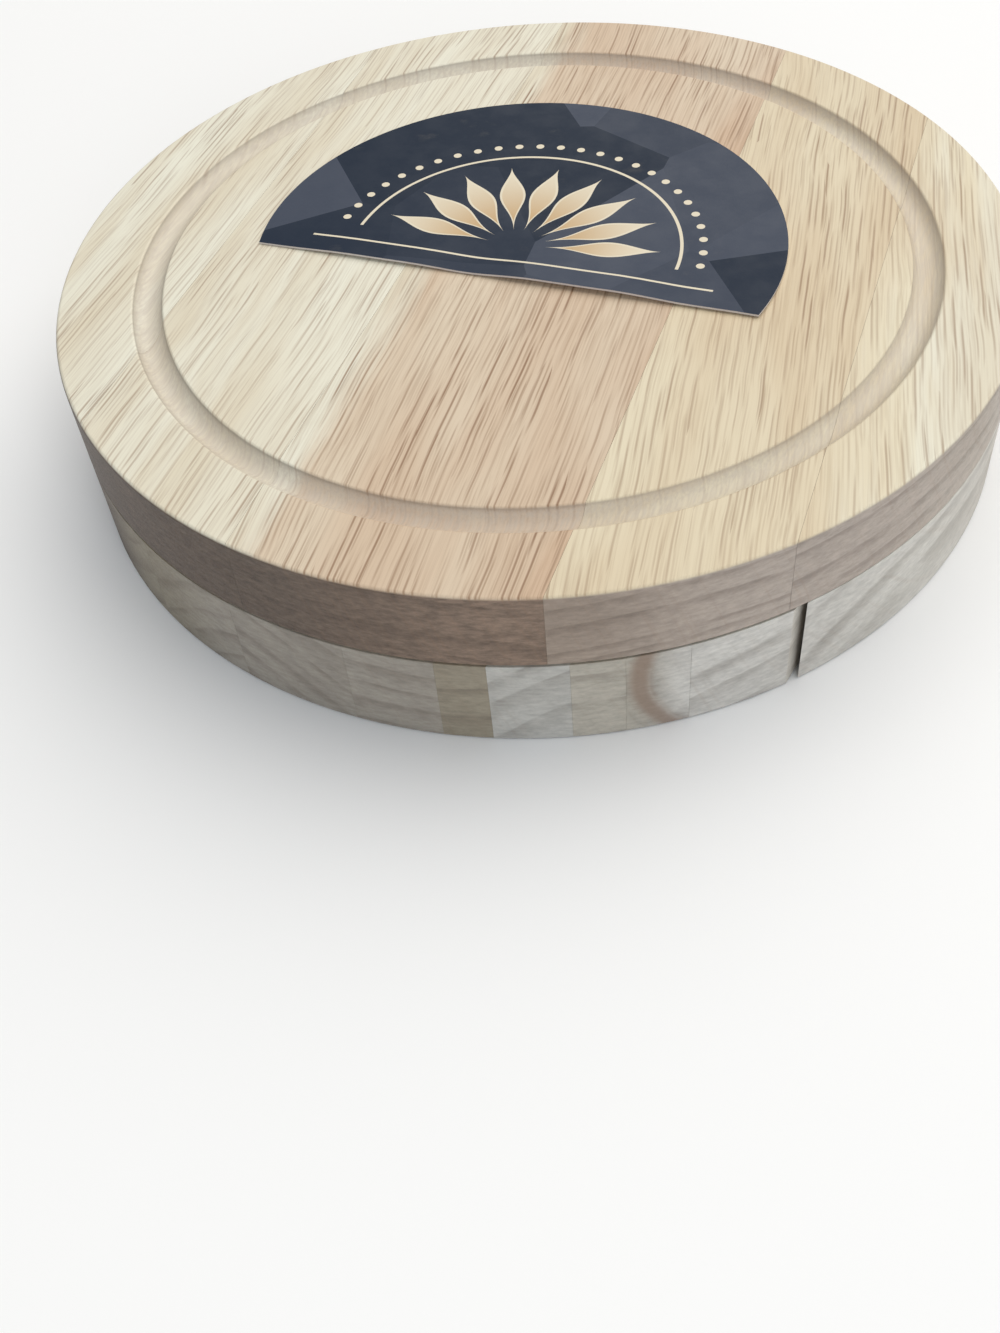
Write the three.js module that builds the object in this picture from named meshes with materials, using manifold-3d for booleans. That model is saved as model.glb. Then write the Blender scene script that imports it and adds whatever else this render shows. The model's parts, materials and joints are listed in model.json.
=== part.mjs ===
// Swivel cheese board: a round serving board over a knife tray that turns out from under it.
// Millimetres, +Z up. The origin is the middle of the underside, and +Y runs along the top's grain.

import * as THREE from 'three';
import { mergeVertices } from 'three/addons/utils/BufferGeometryUtils.js';
import Module from 'manifold-3d';

const wasm = await Module();
wasm.setup();

// Driving dimensions of the whole board
const boardDiameter = 200;
const boardHeight = 38;
const topThickness = 17;
const runningGap = 0.5;
const glueLine = 0.1;
const fitGap = 0.3;
const rimRound = 0.8;
const rimChamfer = 0.4;
const circleSteps = 72;
const holeSteps = 24;
const roundSteps = 4;

// Juice groove in the serving face
const grooveOuterRadius = 84.2;
const grooveWidth = 6.3;
const grooveDepth = 2.2;
const grooveSteps = 6;

// Glue joints between the staves, across the grain
const topJoints = [-66, -24, 33.7, 71];
const trayJoints = [-82, -57, -32, -7, 18, 34.7, 43.4, 56.2, 64.1, 72.8];

// Foot block: the rim segment that stays under the board when the tray swings out
const slitAzimuth = -43.3;
const blockHalfArc = 31;
const slitWidth = 1.4;
const blockScrewSpread = 24;
const blockScrewRadius = 2;
const blockScrewHeadRadius = 3.6;
const blockScrewHeadHeight = 2.4;
const blockScrewSink = 3;
const blockScrewReach = 10;
const blockScrewTaper = 4;
const blockScrewInset = 8.4;
const crossRecessLength = 4;
const crossRecessWidth = 0.9;

// Pivot: a bolt from below, through the tray, into a threaded insert in the board
const pivotRadius = 83;
const pivotAzimuth = 145;
const boltRadius = 3;
const boltHeadRadius = 6.5;
const boltHeadHeight = 3;
const boltHeadSink = 2;
const boltReach = 10;
const washerRadius = 7;
const washerThickness = 1.2;
const insertRadius = 5;
const insertLength = 10.5;
const spacerRadius = 9;
const spacerThickness = 1.8;
const boltSocketRadius = 2.3;
const boltSocketDepth = 1.6;
const boltSocketSides = 6;
const boltPoint = 1;

// Knives, each lying along +Y of its own frame with the handle end forward
const handlePocketFloor = 6.4;
const bladePocketFloor = 9.4;
const handleFlatness = 0.62;
const handleWidest = 10;
const bladeThickness = 1.8;
const tangWidth = 5;
const tangLength = 40;
const pocketMargin = 2.5;
const handleSides = 20;
const handleSteps = 12;
// Flank of a handle from ferrule to end: share of the widest radius, share of the length
const handleFlank = [[0.64, 0], [0.68, 0.2], [0.86, 0.55], [1, 0.8], [0.7, 0.96], [0, 1]];
const softKnife = { x: 37.7, y: -9.5, azimuth: 73.3, blade: 72, ferrule: 8, handle: 70, start: -75 };
const flatKnife = { x: -18.8, y: 13.7, azimuth: 77, blade: 64, ferrule: 7, handle: 71, start: -71 };
const softBladeHalfWidth = 11;
const softBellyShare = 1.25;
const softHeelHalfWidth = 5;
const softTipOffset = 5.5;
const flatBladeHalfWidth = 21;
const flatHeelHalfWidth = 6;
const flatEdgeBow = 3;
const flatShoulder = 0.4;
const ferruleLip = 0.8;

// Finger channel across both handles, in the tray's frame
const channelLeft = -26;
const channelRight = 58;
const channelY = 26;
const channelHalfWidth = 12;

// Label card lying on the serving face, a disc with its lower part cut away
const cardRadius = 56.2;
const cardCentre = { x: -3.6, y: 2 };
const cardCutBelowCentre = 13.6;
const cardThickness = 0.4;
const cardSteps = 48;

// Values worked out from the driving dimensions
const boardRadius = boardDiameter / 2;
const topBottom = boardHeight - topThickness;
const trayTop = topBottom - runningGap;
const trayTurn = THREE.MathUtils.degToRad(slitAzimuth + blockHalfArc);
const chordDistance = boardRadius * Math.cos(THREE.MathUtils.degToRad(blockHalfArc));
const trayEdge = chordDistance - slitWidth / 2;
const blockEdge = chordDistance + slitWidth / 2;
const blockScrewX = boardRadius - blockScrewInset;
const pivot = polar(pivotRadius, pivotAzimuth);
const washerBottom = boltHeadSink + boltHeadHeight + fitGap;
const counterboreTop = washerBottom + washerThickness + fitGap;
const spacerTop = topBottom - glueLine;
const handleNeck = handleWidest * handleFlank[0][0];
const handleMiddle = handlePocketFloor + fitGap + handleWidest * handleFlatness;
const overcut = 5;
const mergeDistance = 1e-4;

const colours = {
  top: [0xe2dcc6, 0xe0d9c2, 0xd1bca4, 0xdcceb2, 0xdfd2b6],
  tray: [
    0xb5a78f, 0xad9d85, 0xb8ab94, 0xb3a08a, 0xc2b8a6, 0xb8aa94, 0xa89c86, 0xc6c0b2, 0xbfb5a2, 0xb9aa97,
    0xccc6b8,
  ],
  block: 0xcac5b8,
  handle: 0xdcc8a4,
  steel: 0xb9bcc0,
  zinc: 0x9a9ca0,
  brass: 0xb89a52,
  nylon: 0xe6e4dc,
  card: 0x2a3444,
};
const finishes = {
  wood: { roughness: 0.6, metalness: 0 },
  moulded: { roughness: 0.6, metalness: 0 },
  satin: { roughness: 0.27, metalness: 1 },
  plated: { roughness: 0.38, metalness: 1 },
  print: { roughness: 0.5, metalness: 0 },
};

function polar(radius, degrees) {
  const angle = THREE.MathUtils.degToRad(degrees);
  return { x: radius * Math.cos(angle), y: radius * Math.sin(angle) };
}

// A point of the tray's frame in the board's frame
function inBoardFrame(point) {
  const turned = new THREE.Vector2(point.x, point.y);
  return turned.rotateAround(new THREE.Vector2(0, 0), trayTurn);
}

// A closed geometry as a solid that can be joined and cut, with its faces turned outward
function toSolid(geometry) {
  const bare = geometry.clone();
  bare.deleteAttribute('normal');
  bare.deleteAttribute('uv');
  const merged = mergeVertices(bare, mergeDistance);
  const corners = merged.attributes.position;
  const a = new THREE.Vector3();
  const b = new THREE.Vector3();
  const c = new THREE.Vector3();
  const triangles = [];
  let volume = 0;
  for (let i = 0; i < merged.index.count; i += 3) {
    const [p, q, r] = [0, 1, 2].map((step) => merged.index.getX(i + step));
    if (p === q || q === r || r === p) continue;
    triangles.push([p, q, r]);
    a.fromBufferAttribute(corners, p);
    b.fromBufferAttribute(corners, q);
    c.fromBufferAttribute(corners, r);
    volume += a.dot(b.cross(c));
  }
  const outward = volume > 0 ? triangles : triangles.map(([p, q, r]) => [p, r, q]);
  return new wasm.Manifold(new wasm.Mesh({
    numProp: 3,
    vertProperties: Float32Array.from(corners.array),
    triVerts: Uint32Array.from(outward.flat()),
  }));
}

function toGeometry(solid) {
  const mesh = solid.getMesh();
  const geometry = new THREE.BufferGeometry();
  geometry.setAttribute('position', new THREE.BufferAttribute(mesh.vertProperties, 3));
  geometry.setIndex(new THREE.BufferAttribute(mesh.triVerts, 1));
  geometry.computeVertexNormals();
  return geometry;
}

function cutAll(solid, tools) {
  return tools.reduce((left, tool) => left.subtract(tool), solid);
}

// A solid turned about +Z from a profile of [radius, height] points
function turned(profile, steps) {
  const points = profile.map(([radius, height]) => new THREE.Vector2(radius, height));
  return toSolid(new THREE.LatheGeometry(points, steps).rotateX(Math.PI / 2));
}

function drilled(at, radius, low, high) {
  const hole = new THREE.CylinderGeometry(radius, radius, high - low, holeSteps);
  hole.rotateX(Math.PI / 2);
  hole.translate(at.x, at.y, (low + high) / 2);
  return toSolid(hole);
}

function ring(at, inner, outer, low, high) {
  const profile = [[inner, low], [outer, low], [outer, high], [inner, high], [inner, low]];
  return turned(profile, holeSteps).translate([at.x, at.y, 0]);
}

function extruded(shape, low, high, steps) {
  const settings = { depth: high - low, bevelEnabled: false, curveSegments: steps };
  return new THREE.ExtrudeGeometry(shape, settings).translate(0, 0, low);
}

// A slab across the whole board between two joints, with half a glue line left on each side
function slab(left, right) {
  const box = new THREE.BoxGeometry(right - left - glueLine, boardDiameter + overcut, boardHeight * 3);
  return toSolid(box.translate((left + right) / 2, 0, 0));
}

function staveEdges(joints, left, right) {
  return [left, ...joints, right];
}

const model = new THREE.Group();
const lowerFrame = new THREE.Group();
lowerFrame.rotation.z = trayTurn;
model.add(lowerFrame);

function addPiece(parent, name, geometry, color, finish) {
  const piece = new THREE.Mesh(geometry, new THREE.MeshStandardMaterial({ color, ...finish }));
  piece.name = name;
  parent.add(piece);
  return piece;
}

// Serving board: one turned disc with a rounded rim and a juice groove, sawn into its glued staves
function servingDisc() {
  const profile = [
    [0, topBottom], [boardRadius - rimChamfer, topBottom], [boardRadius, topBottom + rimChamfer],
  ];
  for (let step = 0; step <= roundSteps; step += 1) {
    const angle = (Math.PI / 2) * (step / roundSteps);
    const radius = boardRadius - rimRound + rimRound * Math.cos(angle);
    profile.push([radius, boardHeight - rimRound + rimRound * Math.sin(angle)]);
  }
  profile.push([0, boardHeight]);
  return turned(profile, circleSteps).subtract(grooveCutter());
}

function grooveCutter() {
  const half = grooveWidth / 2;
  const sectionRadius = (half * half + grooveDepth * grooveDepth) / (2 * grooveDepth);
  const halfAngle = Math.asin(half / sectionRadius);
  const middle = grooveOuterRadius - half;
  const sectionHeight = boardHeight - grooveDepth + sectionRadius;
  const profile = [];
  for (let step = 0; step <= grooveSteps; step += 1) {
    const angle = -halfAngle + 2 * halfAngle * (step / grooveSteps);
    const height = sectionHeight - sectionRadius * Math.cos(angle);
    profile.push([middle + sectionRadius * Math.sin(angle), height]);
  }
  profile.push([middle + half, boardHeight + overcut]);
  profile.push([middle - half, boardHeight + overcut]);
  profile.push(profile[0]);
  return turned(profile, circleSteps);
}

function blockScrewPlaces() {
  return [-1, 1].map((side) => ({ x: blockScrewX, y: side * blockScrewSpread }));
}

function addServingBoard() {
  const disc = servingDisc();
  const insertHole = drilled(
    inBoardFrame(pivot), insertRadius + fitGap, 0, topBottom + insertLength + fitGap * 2);
  const screwHoles = blockScrewPlaces().map((place) => drilled(
    inBoardFrame(place), blockScrewRadius + fitGap, 0, topBottom + blockScrewReach + fitGap));
  const edges = staveEdges(topJoints, -boardRadius - overcut, boardRadius + overcut);
  for (let stave = 0; stave + 1 < edges.length; stave += 1) {
    const plank = disc.intersect(slab(edges[stave], edges[stave + 1]));
    const solid = cutAll(plank, [insertHole, ...screwHoles]);
    addPiece(model, `top_stave_${stave + 1}`, toGeometry(solid), colours.top[stave], finishes.wood);
  }
}

// Lower layer: one disc with broken edges, parted by the slit into the tray and the foot block
function lowerDisc(top) {
  const profile = [
    [0, 0], [boardRadius - rimChamfer, 0], [boardRadius, rimChamfer],
    [boardRadius, top - rimChamfer], [boardRadius - rimChamfer, top], [0, top],
  ];
  return turned(profile, circleSteps);
}

function addFootBlock() {
  const disc = lowerDisc(topBottom - glueLine);
  const block = disc.intersect(slab(blockEdge - glueLine / 2, boardRadius + overcut));
  const screwHoles = blockScrewPlaces().flatMap((place) => [
    drilled(place, blockScrewRadius + fitGap, -overcut, boardHeight),
    drilled(place, blockScrewHeadRadius + fitGap, -overcut, blockScrewSink),
    countersink(place),
  ]);
  addPiece(lowerFrame, 'foot_block', toGeometry(cutAll(block, screwHoles)), colours.block, finishes.wood);
}

function countersink(place) {
  const low = blockScrewSink;
  const wide = blockScrewHeadRadius + fitGap;
  const narrow = blockScrewRadius + fitGap;
  const high = low + blockScrewHeadHeight;
  const profile = [[0, low], [wide, low], [narrow, high], [0, high]];
  return turned(profile, holeSteps).translate([place.x, place.y, 0]);
}

// Countersunk wood screw, point up, with a cross recess in its head
function addBlockScrews() {
  const low = blockScrewSink - fitGap;
  const tip = topBottom + blockScrewReach;
  const profile = [
    [0, low], [blockScrewHeadRadius, low], [blockScrewRadius, low + blockScrewHeadHeight],
    [blockScrewRadius, tip - blockScrewTaper], [0, tip],
  ];
  const slots = [[crossRecessLength, crossRecessWidth], [crossRecessWidth, crossRecessLength]];
  const recess = slots.map(([length, width]) => toSolid(
    new THREE.BoxGeometry(length, width, blockScrewHeadHeight).translate(0, 0, low)));
  const screw = cutAll(turned(profile, holeSteps), recess);
  blockScrewPlaces().forEach((place, index) => {
    const name = `block_screw_${index + 1}`;
    const piece = addPiece(lowerFrame, name, toGeometry(screw), colours.zinc, finishes.plated);
    piece.position.set(place.x, place.y, 0);
  });
}

// Pivot bolt with a hexagon socket, its washer, the spacer between the layers and the insert
function addPivot() {
  const headTop = boltHeadSink + boltHeadHeight;
  const tip = topBottom + boltReach;
  const profile = [
    [0, boltHeadSink], [boltHeadRadius, boltHeadSink], [boltHeadRadius, headTop], [boltRadius, headTop],
    [boltRadius, tip - boltPoint], [boltRadius - boltPoint, tip], [0, tip],
  ];
  const socket = new THREE.CylinderGeometry(
    boltSocketRadius, boltSocketRadius, boltSocketDepth * 2, boltSocketSides);
  socket.rotateX(Math.PI / 2).translate(0, 0, boltHeadSink);
  const bolt = turned(profile, holeSteps).subtract(toSolid(socket)).translate([pivot.x, pivot.y, 0]);
  addPiece(lowerFrame, 'pivot_bolt', toGeometry(bolt), colours.zinc, finishes.plated);
  const bore = boltRadius + fitGap;
  const washer = ring(pivot, bore, washerRadius, washerBottom, washerBottom + washerThickness);
  addPiece(lowerFrame, 'pivot_washer', toGeometry(washer), colours.zinc, finishes.plated);
  const spacer = ring(pivot, bore, spacerRadius, spacerTop - spacerThickness, spacerTop);
  addPiece(lowerFrame, 'pivot_spacer', toGeometry(spacer), colours.nylon, finishes.moulded);
  const insertBottom = topBottom + fitGap;
  const insert = ring(pivot, bore, insertRadius, insertBottom, insertBottom + insertLength);
  addPiece(lowerFrame, 'pivot_insert', toGeometry(insert), colours.brass, finishes.plated);
}

function pivotCutters() {
  return [
    drilled(pivot, boltRadius + fitGap, -overcut, boardHeight),
    drilled(pivot, washerRadius + fitGap * 2, -overcut, counterboreTop),
    drilled(pivot, spacerRadius + fitGap, spacerTop - spacerThickness - fitGap, boardHeight),
  ];
}

// Geometry drawn in a knife's frame, moved to the knife's place in the tray
function atKnife(geometry, knife) {
  return geometry.rotateZ(THREE.MathUtils.degToRad(knife.azimuth - 90)).translate(knife.x, knife.y, 0);
}

// Slot for a handle: straight sides and a round end
function handlePocket(knife) {
  const half = handleWidest + pocketMargin;
  const end = knife.start + knife.blade + knife.ferrule + knife.handle + pocketMargin;
  const slot = new THREE.Shape();
  slot.moveTo(-half, knife.start + knife.blade - pocketMargin);
  slot.lineTo(half, knife.start + knife.blade - pocketMargin);
  slot.lineTo(half, end - half);
  slot.absarc(0, end - half, half, 0, Math.PI, false);
  slot.closePath();
  return toSolid(atKnife(extruded(slot, handlePocketFloor, boardHeight, roundSteps * 2), knife));
}

// Recess for the pointed blade, drawn in to a round end at the tip
function softBladePocket() {
  const half = softBladeHalfWidth + pocketMargin * 2;
  const end = softKnife.start - pocketMargin;
  const tipRadius = half / 2;
  const heel = softKnife.start + softKnife.blade + pocketMargin * 2;
  const shoulder = softKnife.start + softKnife.blade / 2;
  const recess = new THREE.Shape();
  recess.moveTo(half, heel);
  recess.lineTo(-half, heel);
  recess.lineTo(-half, shoulder);
  recess.quadraticCurveTo(-half, end + tipRadius * 2, -tipRadius, end + tipRadius);
  recess.absarc(0, end + tipRadius, tipRadius, Math.PI, Math.PI * 2, false);
  recess.quadraticCurveTo(half, end + tipRadius * 2, half, shoulder);
  recess.closePath();
  return toSolid(atKnife(extruded(recess, bladePocketFloor, boardHeight, roundSteps * 2), softKnife));
}

// Recess for the wide blade: a square end with round corners
function flatBladePocket() {
  const half = flatBladeHalfWidth + pocketMargin * 2;
  const end = flatKnife.start - pocketMargin;
  const corner = half / 2;
  const heel = flatKnife.start + flatKnife.blade + pocketMargin * 2;
  const recess = new THREE.Shape();
  recess.moveTo(-half + corner, end);
  recess.absarc(half - corner, end + corner, corner, -Math.PI / 2, 0, false);
  recess.absarc(half - corner, heel - corner, corner, 0, Math.PI / 2, false);
  recess.absarc(-half + corner, heel - corner, corner, Math.PI / 2, Math.PI, false);
  recess.absarc(-half + corner, end + corner, corner, Math.PI, Math.PI * 1.5, false);
  recess.closePath();
  return toSolid(atKnife(extruded(recess, bladePocketFloor, boardHeight, roundSteps * 2), flatKnife));
}

// Channel that lets fingers reach under both handles
function fingerChannel() {
  const slot = new THREE.Shape();
  slot.moveTo(channelLeft, channelY - channelHalfWidth);
  slot.absarc(channelRight, channelY, channelHalfWidth, -Math.PI / 2, Math.PI / 2, false);
  slot.absarc(channelLeft, channelY, channelHalfWidth, Math.PI / 2, Math.PI * 1.5, false);
  slot.closePath();
  return toSolid(extruded(slot, handlePocketFloor, boardHeight, roundSteps * 2));
}

function addTray() {
  const disc = lowerDisc(trayTop);
  const cutters = [
    handlePocket(softKnife), handlePocket(flatKnife), softBladePocket(), flatBladePocket(),
    fingerChannel(), ...pivotCutters(),
  ];
  const edges = staveEdges(trayJoints, -boardRadius - overcut, trayEdge + glueLine / 2);
  for (let stave = 0; stave + 1 < edges.length; stave += 1) {
    const plank = disc.intersect(slab(edges[stave], edges[stave + 1]));
    const solid = cutAll(plank, cutters);
    addPiece(lowerFrame, `tray_stave_${stave + 1}`, toGeometry(solid), colours.tray[stave], finishes.wood);
  }
}

// Pointed soft-cheese blade: a gently curved back, a full belly and a tang for the handle
function softBladeShape() {
  const { start, blade, ferrule } = softKnife;
  const heel = start + blade - fitGap;
  const outline = new THREE.Shape();
  outline.moveTo(softHeelHalfWidth, heel);
  outline.lineTo(tangWidth / 2, heel);
  outline.lineTo(tangWidth / 2, start + blade + ferrule + tangLength);
  outline.lineTo(-tangWidth / 2, start + blade + ferrule + tangLength);
  outline.lineTo(-tangWidth / 2, heel);
  outline.lineTo(-softHeelHalfWidth, heel);
  const bellyPull = softBladeHalfWidth * softBellyShare;
  outline.bezierCurveTo(
    -bellyPull, heel - blade / 4, -bellyPull, start + blade / 3, softTipOffset, start);
  outline.quadraticCurveTo(softBladeHalfWidth, start + blade / 2, softHeelHalfWidth, heel);
  return outline;
}

// Flat aged-cheese blade: a spade that widens to a slightly bowed edge
function flatBladeShape() {
  const { start, blade, ferrule } = flatKnife;
  const heel = start + blade - fitGap;
  const shoulder = heel - blade * flatShoulder;
  const outline = new THREE.Shape();
  outline.moveTo(flatHeelHalfWidth, heel);
  outline.lineTo(tangWidth / 2, heel);
  outline.lineTo(tangWidth / 2, start + blade + ferrule + tangLength);
  outline.lineTo(-tangWidth / 2, start + blade + ferrule + tangLength);
  outline.lineTo(-tangWidth / 2, heel);
  outline.lineTo(-flatHeelHalfWidth, heel);
  outline.quadraticCurveTo(-flatBladeHalfWidth, shoulder, -flatBladeHalfWidth, start + flatEdgeBow);
  outline.quadraticCurveTo(0, start - flatEdgeBow, flatBladeHalfWidth, start + flatEdgeBow);
  outline.quadraticCurveTo(flatBladeHalfWidth, shoulder, flatHeelHalfWidth, heel);
  return outline;
}

// Wooden handle: slim behind the ferrule, full towards the round end, flattened to an oval
function handleSolid(knife) {
  const front = knife.start + knife.blade + knife.ferrule + fitGap;
  const end = knife.start + knife.blade + knife.ferrule + knife.handle;
  const flank = new THREE.SplineCurve(handleFlank.map(([width, along]) => new THREE.Vector2(
    handleWidest * width, front + (end - front) * along)));
  const profile = [new THREE.Vector2(0, front), ...flank.getPoints(handleSteps)];
  const body = new THREE.LatheGeometry(profile, handleSides).scale(1, 1, handleFlatness);
  const boreEnd = knife.start + knife.blade + knife.ferrule + tangLength + fitGap;
  const bore = tangHole(front - overcut, boreEnd);
  return toSolid(body).subtract(bore);
}

function tangHole(low, high) {
  const box = new THREE.BoxGeometry(tangWidth + fitGap * 2, high - low, bladeThickness + fitGap * 2);
  return toSolid(box.translate(0, (low + high) / 2, 0));
}

// Steel ferrule between blade and handle, with a slot for the tang
function ferruleSolid(knife) {
  const low = knife.start + knife.blade;
  const high = low + knife.ferrule;
  const profile = [
    [0, low], [handleNeck - ferruleLip, low], [handleNeck, low + ferruleLip], [handleNeck, high], [0, high],
  ].map(([radius, height]) => new THREE.Vector2(radius, height));
  const body = new THREE.LatheGeometry(profile, handleSides).scale(1, 1, handleFlatness);
  return toSolid(body).subtract(tangHole(low - overcut, high + overcut));
}

function addKnife(name, knife, bladeShape) {
  const frame = new THREE.Group();
  frame.position.set(knife.x, knife.y, handleMiddle);
  frame.rotation.z = THREE.MathUtils.degToRad(knife.azimuth - 90);
  lowerFrame.add(frame);
  const blade = toSolid(extruded(bladeShape, -bladeThickness / 2, bladeThickness / 2, roundSteps * 3));
  addPiece(frame, `${name}_blade`, toGeometry(blade), colours.steel, finishes.satin);
  addPiece(frame, `${name}_ferrule`, toGeometry(ferruleSolid(knife)), colours.steel, finishes.satin);
  addPiece(frame, `${name}_handle`, toGeometry(handleSolid(knife)), colours.handle, finishes.wood);
}

function addLabelCard() {
  const cutAngle = Math.asin(cardCutBelowCentre / cardRadius);
  const outline = new THREE.Shape();
  outline.absarc(cardCentre.x, cardCentre.y, cardRadius, -cutAngle, Math.PI + cutAngle, false);
  outline.closePath();
  const low = boardHeight + glueLine;
  const card = extruded(outline, low, low + cardThickness, cardSteps);
  addPiece(model, 'label_card', toGeometry(toSolid(card)), colours.card, finishes.print);
}

addServingBoard();
addFootBlock();
addBlockScrews();
addTray();
addPivot();
addKnife('soft_knife', softKnife, softBladeShape());
addKnife('flat_knife', flatKnife, flatBladeShape());
addLabelCard();

export default model;
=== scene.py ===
import json
import math
from collections import namedtuple

import bmesh
import bpy
from bpy.props import FloatProperty, FloatVectorProperty, PointerProperty
from mathutils import Matrix, Vector


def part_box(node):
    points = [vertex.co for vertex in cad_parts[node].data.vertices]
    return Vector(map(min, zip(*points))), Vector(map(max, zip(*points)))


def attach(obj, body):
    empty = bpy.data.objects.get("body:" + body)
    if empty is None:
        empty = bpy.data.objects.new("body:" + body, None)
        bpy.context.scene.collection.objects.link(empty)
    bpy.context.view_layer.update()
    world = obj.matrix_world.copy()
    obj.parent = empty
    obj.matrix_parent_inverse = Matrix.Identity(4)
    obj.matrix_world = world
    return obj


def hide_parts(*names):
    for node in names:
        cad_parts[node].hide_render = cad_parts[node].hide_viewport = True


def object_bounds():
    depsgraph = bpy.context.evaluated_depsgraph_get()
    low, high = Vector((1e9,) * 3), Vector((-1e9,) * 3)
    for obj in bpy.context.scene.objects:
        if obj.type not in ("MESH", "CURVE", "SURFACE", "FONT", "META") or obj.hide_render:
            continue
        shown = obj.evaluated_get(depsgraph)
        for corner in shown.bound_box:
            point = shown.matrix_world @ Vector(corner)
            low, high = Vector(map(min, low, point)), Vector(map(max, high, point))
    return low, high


bl_info = {
    "name": "Swivel Cheese Board",
    "version": (1, 0, 0),
    "blender": (4, 5, 0),
    "location": "View3D > Sidebar > Cheese Board",
    "description": "Models a round serving board over a knife tray that swings out",
    "category": "Object",
}

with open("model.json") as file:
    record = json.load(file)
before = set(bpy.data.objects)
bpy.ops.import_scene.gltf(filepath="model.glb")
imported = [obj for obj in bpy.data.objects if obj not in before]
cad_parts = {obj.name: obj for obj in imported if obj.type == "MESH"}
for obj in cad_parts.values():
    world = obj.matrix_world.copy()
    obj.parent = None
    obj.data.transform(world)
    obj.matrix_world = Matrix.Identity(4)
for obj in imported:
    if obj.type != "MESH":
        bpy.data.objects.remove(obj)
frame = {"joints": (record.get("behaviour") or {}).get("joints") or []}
CAD_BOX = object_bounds()

# Heights and radii that the frame fixes, in metres
BOARD_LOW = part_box("top_stave_3")[0].z
BOARD_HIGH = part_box("top_stave_3")[1].z
BOARD_RADIUS = CAD_BOX[1].x
TRAY_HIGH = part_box("tray_stave_4")[1].z
BLOCK_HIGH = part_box("foot_block")[1].z
HANDLE_MIDDLE = (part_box("soft_knife_handle")[0].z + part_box("soft_knife_handle")[1].z) / 2
CARD_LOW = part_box("label_card")[0].z
CARD_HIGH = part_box("label_card")[1].z
PIVOT = Vector(frame["joints"][0]["pos_m"])
BLOCK_SCREWS = ("block_screw_1", "block_screw_2")

# Units
MILLIMETRE = 0.001
PER_METRE = 1000.0

# Tolerances for finding points at a place, points on a ring and faces that look along an axis
SMALL = 1e-5
RING_SLACK = 20 * SMALL
FACING = 0.9

# How far cutters run past the wood, and how far the saw reaches from the middle
BEYOND = 0.05
SAW_REACH = 0.15

# Sides of round blanks
RIM_SIDES = 192
CARD_SIDES = 128
HOLE_SIDES = 64
SCREW_SIDES = 32
GRIP_SIDES = 24
SOCKET_SIDES = 6

# Angles up to which faces are shaded as one, and joined as one
SMOOTH_ANGLE = math.radians(32)
FLAT_ANGLE = math.radians(0.5)


def shade(red, green, blue):
    """A linear colour from the 0 to 255 values of a screen colour."""
    shares = (red / 255, green / 255, blue / 255)
    return tuple(x / 12.92 if x < 0.04045 else ((x + 0.055) / 1.055) ** 2.4 for x in shares)


# One glued stave. First come its right-hand joint, the colours of its face and ends, the place of the tree's
# heart and the ring width. Then come the degrees that its grain leans, the strength of its pores, how mottled
# its ends are, how far its upright long-grain sides take the ends' darker colour as painted shade, the
# neighbour's colour at its left joint and the width in which that fades, the ends' lighter colour at its
# right joint as a painted gradient of light from the right, and the radius and half width of a brown ring
Stave = namedtuple(
    "Stave", "right face ends heart_x heart_z ring lean pores grit sides lead fade tail stain stain_half",
    defaults=(0.0, 0.90, 0.80, 0.85, None, 0.024, None, None, None))

# Serving board, left to right across the grain
TOP_STAVES = (
    # The umber ends of the three left staves are partly painted shade for the board's shaded left side
    Stave(-0.0660, "pale", "end_umber", -0.030, -0.110, 0.0050, pores=0.75, grit=1.5),
    Stave(-0.0240, "pale", "end_umber", -0.090, -0.120, 0.0050, pores=0.75, grit=1.5),
    Stave(
        0.0337, "tan", "end_umber", 0.005, -0.090, 0.0042, lean=3.5, pores=1.10, grit=1.7,
        lead="pale", fade=0.008, tail="end_brown"),
    Stave(0.0710, "straw", "end_sand", 0.070, -0.260, 0.0048, lean=7, pores=0.85, grit=0.8, tail="end_tan"),
    Stave(None, "pale", "end_tan", 0.100, -0.300, 0.0052, lean=10, pores=0.80, grit=0.8, lead="straw"),
)

# Knife tray, left to right in its own frame, then the foot block
TRAY_STAVES = (
    # The umber ends of the three left staves are partly painted shade for the board's shaded left side
    Stave(-0.0820, "pale", "end_umber", -0.110, 0.040, 0.0060, pores=0.6),
    Stave(-0.0570, "straw", "end_umber", -0.040, -0.050, 0.0060, pores=0.8),
    Stave(-0.0320, "pale", "end_umber", -0.070, 0.060, 0.0060, pores=0.6, tail="end_olive"),
    Stave(-0.0070, "tan", "end_olive", 0.010, -0.040, 0.0055, tail="end_grey"),
    Stave(0.0180, "pale", "end_grey", -0.030, -0.050, 0.0060, pores=0.6),
    Stave(0.0347, "straw", "end_grey", 0.020, -0.160, 0.0050, pores=0.8),
    Stave(0.0434, "tan", "end_olive", 0.060, -0.200, 0.0080),
    Stave(0.0562, "pale", "end_pale", 0.085, -0.040, 0.0085, pores=0.6),
    Stave(0.0641, "straw", "end_beige", 0.075, -0.120, 0.0090, pores=0.8),
    Stave(
        0.0728, "pale", "end_beige", 0.0855, 0.0135, 0.0080, pores=0.6, tail="end_white",
        stain=0.0203, stain_half=0.0020),
    Stave(None, "straw", "end_white", 0.107, -0.070, 0.0075, pores=0.8),
)
FOOT_BLOCK = Stave(None, "pale", "end_white", 0.129, -0.020, 0.0080, pores=0.6)

# Knife handles, turned along the grain
GRIP = Stave(None, "straw", "end_tan", 0.020, -0.030, 0.0022, pores=0.8, sides=0.0)

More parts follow.
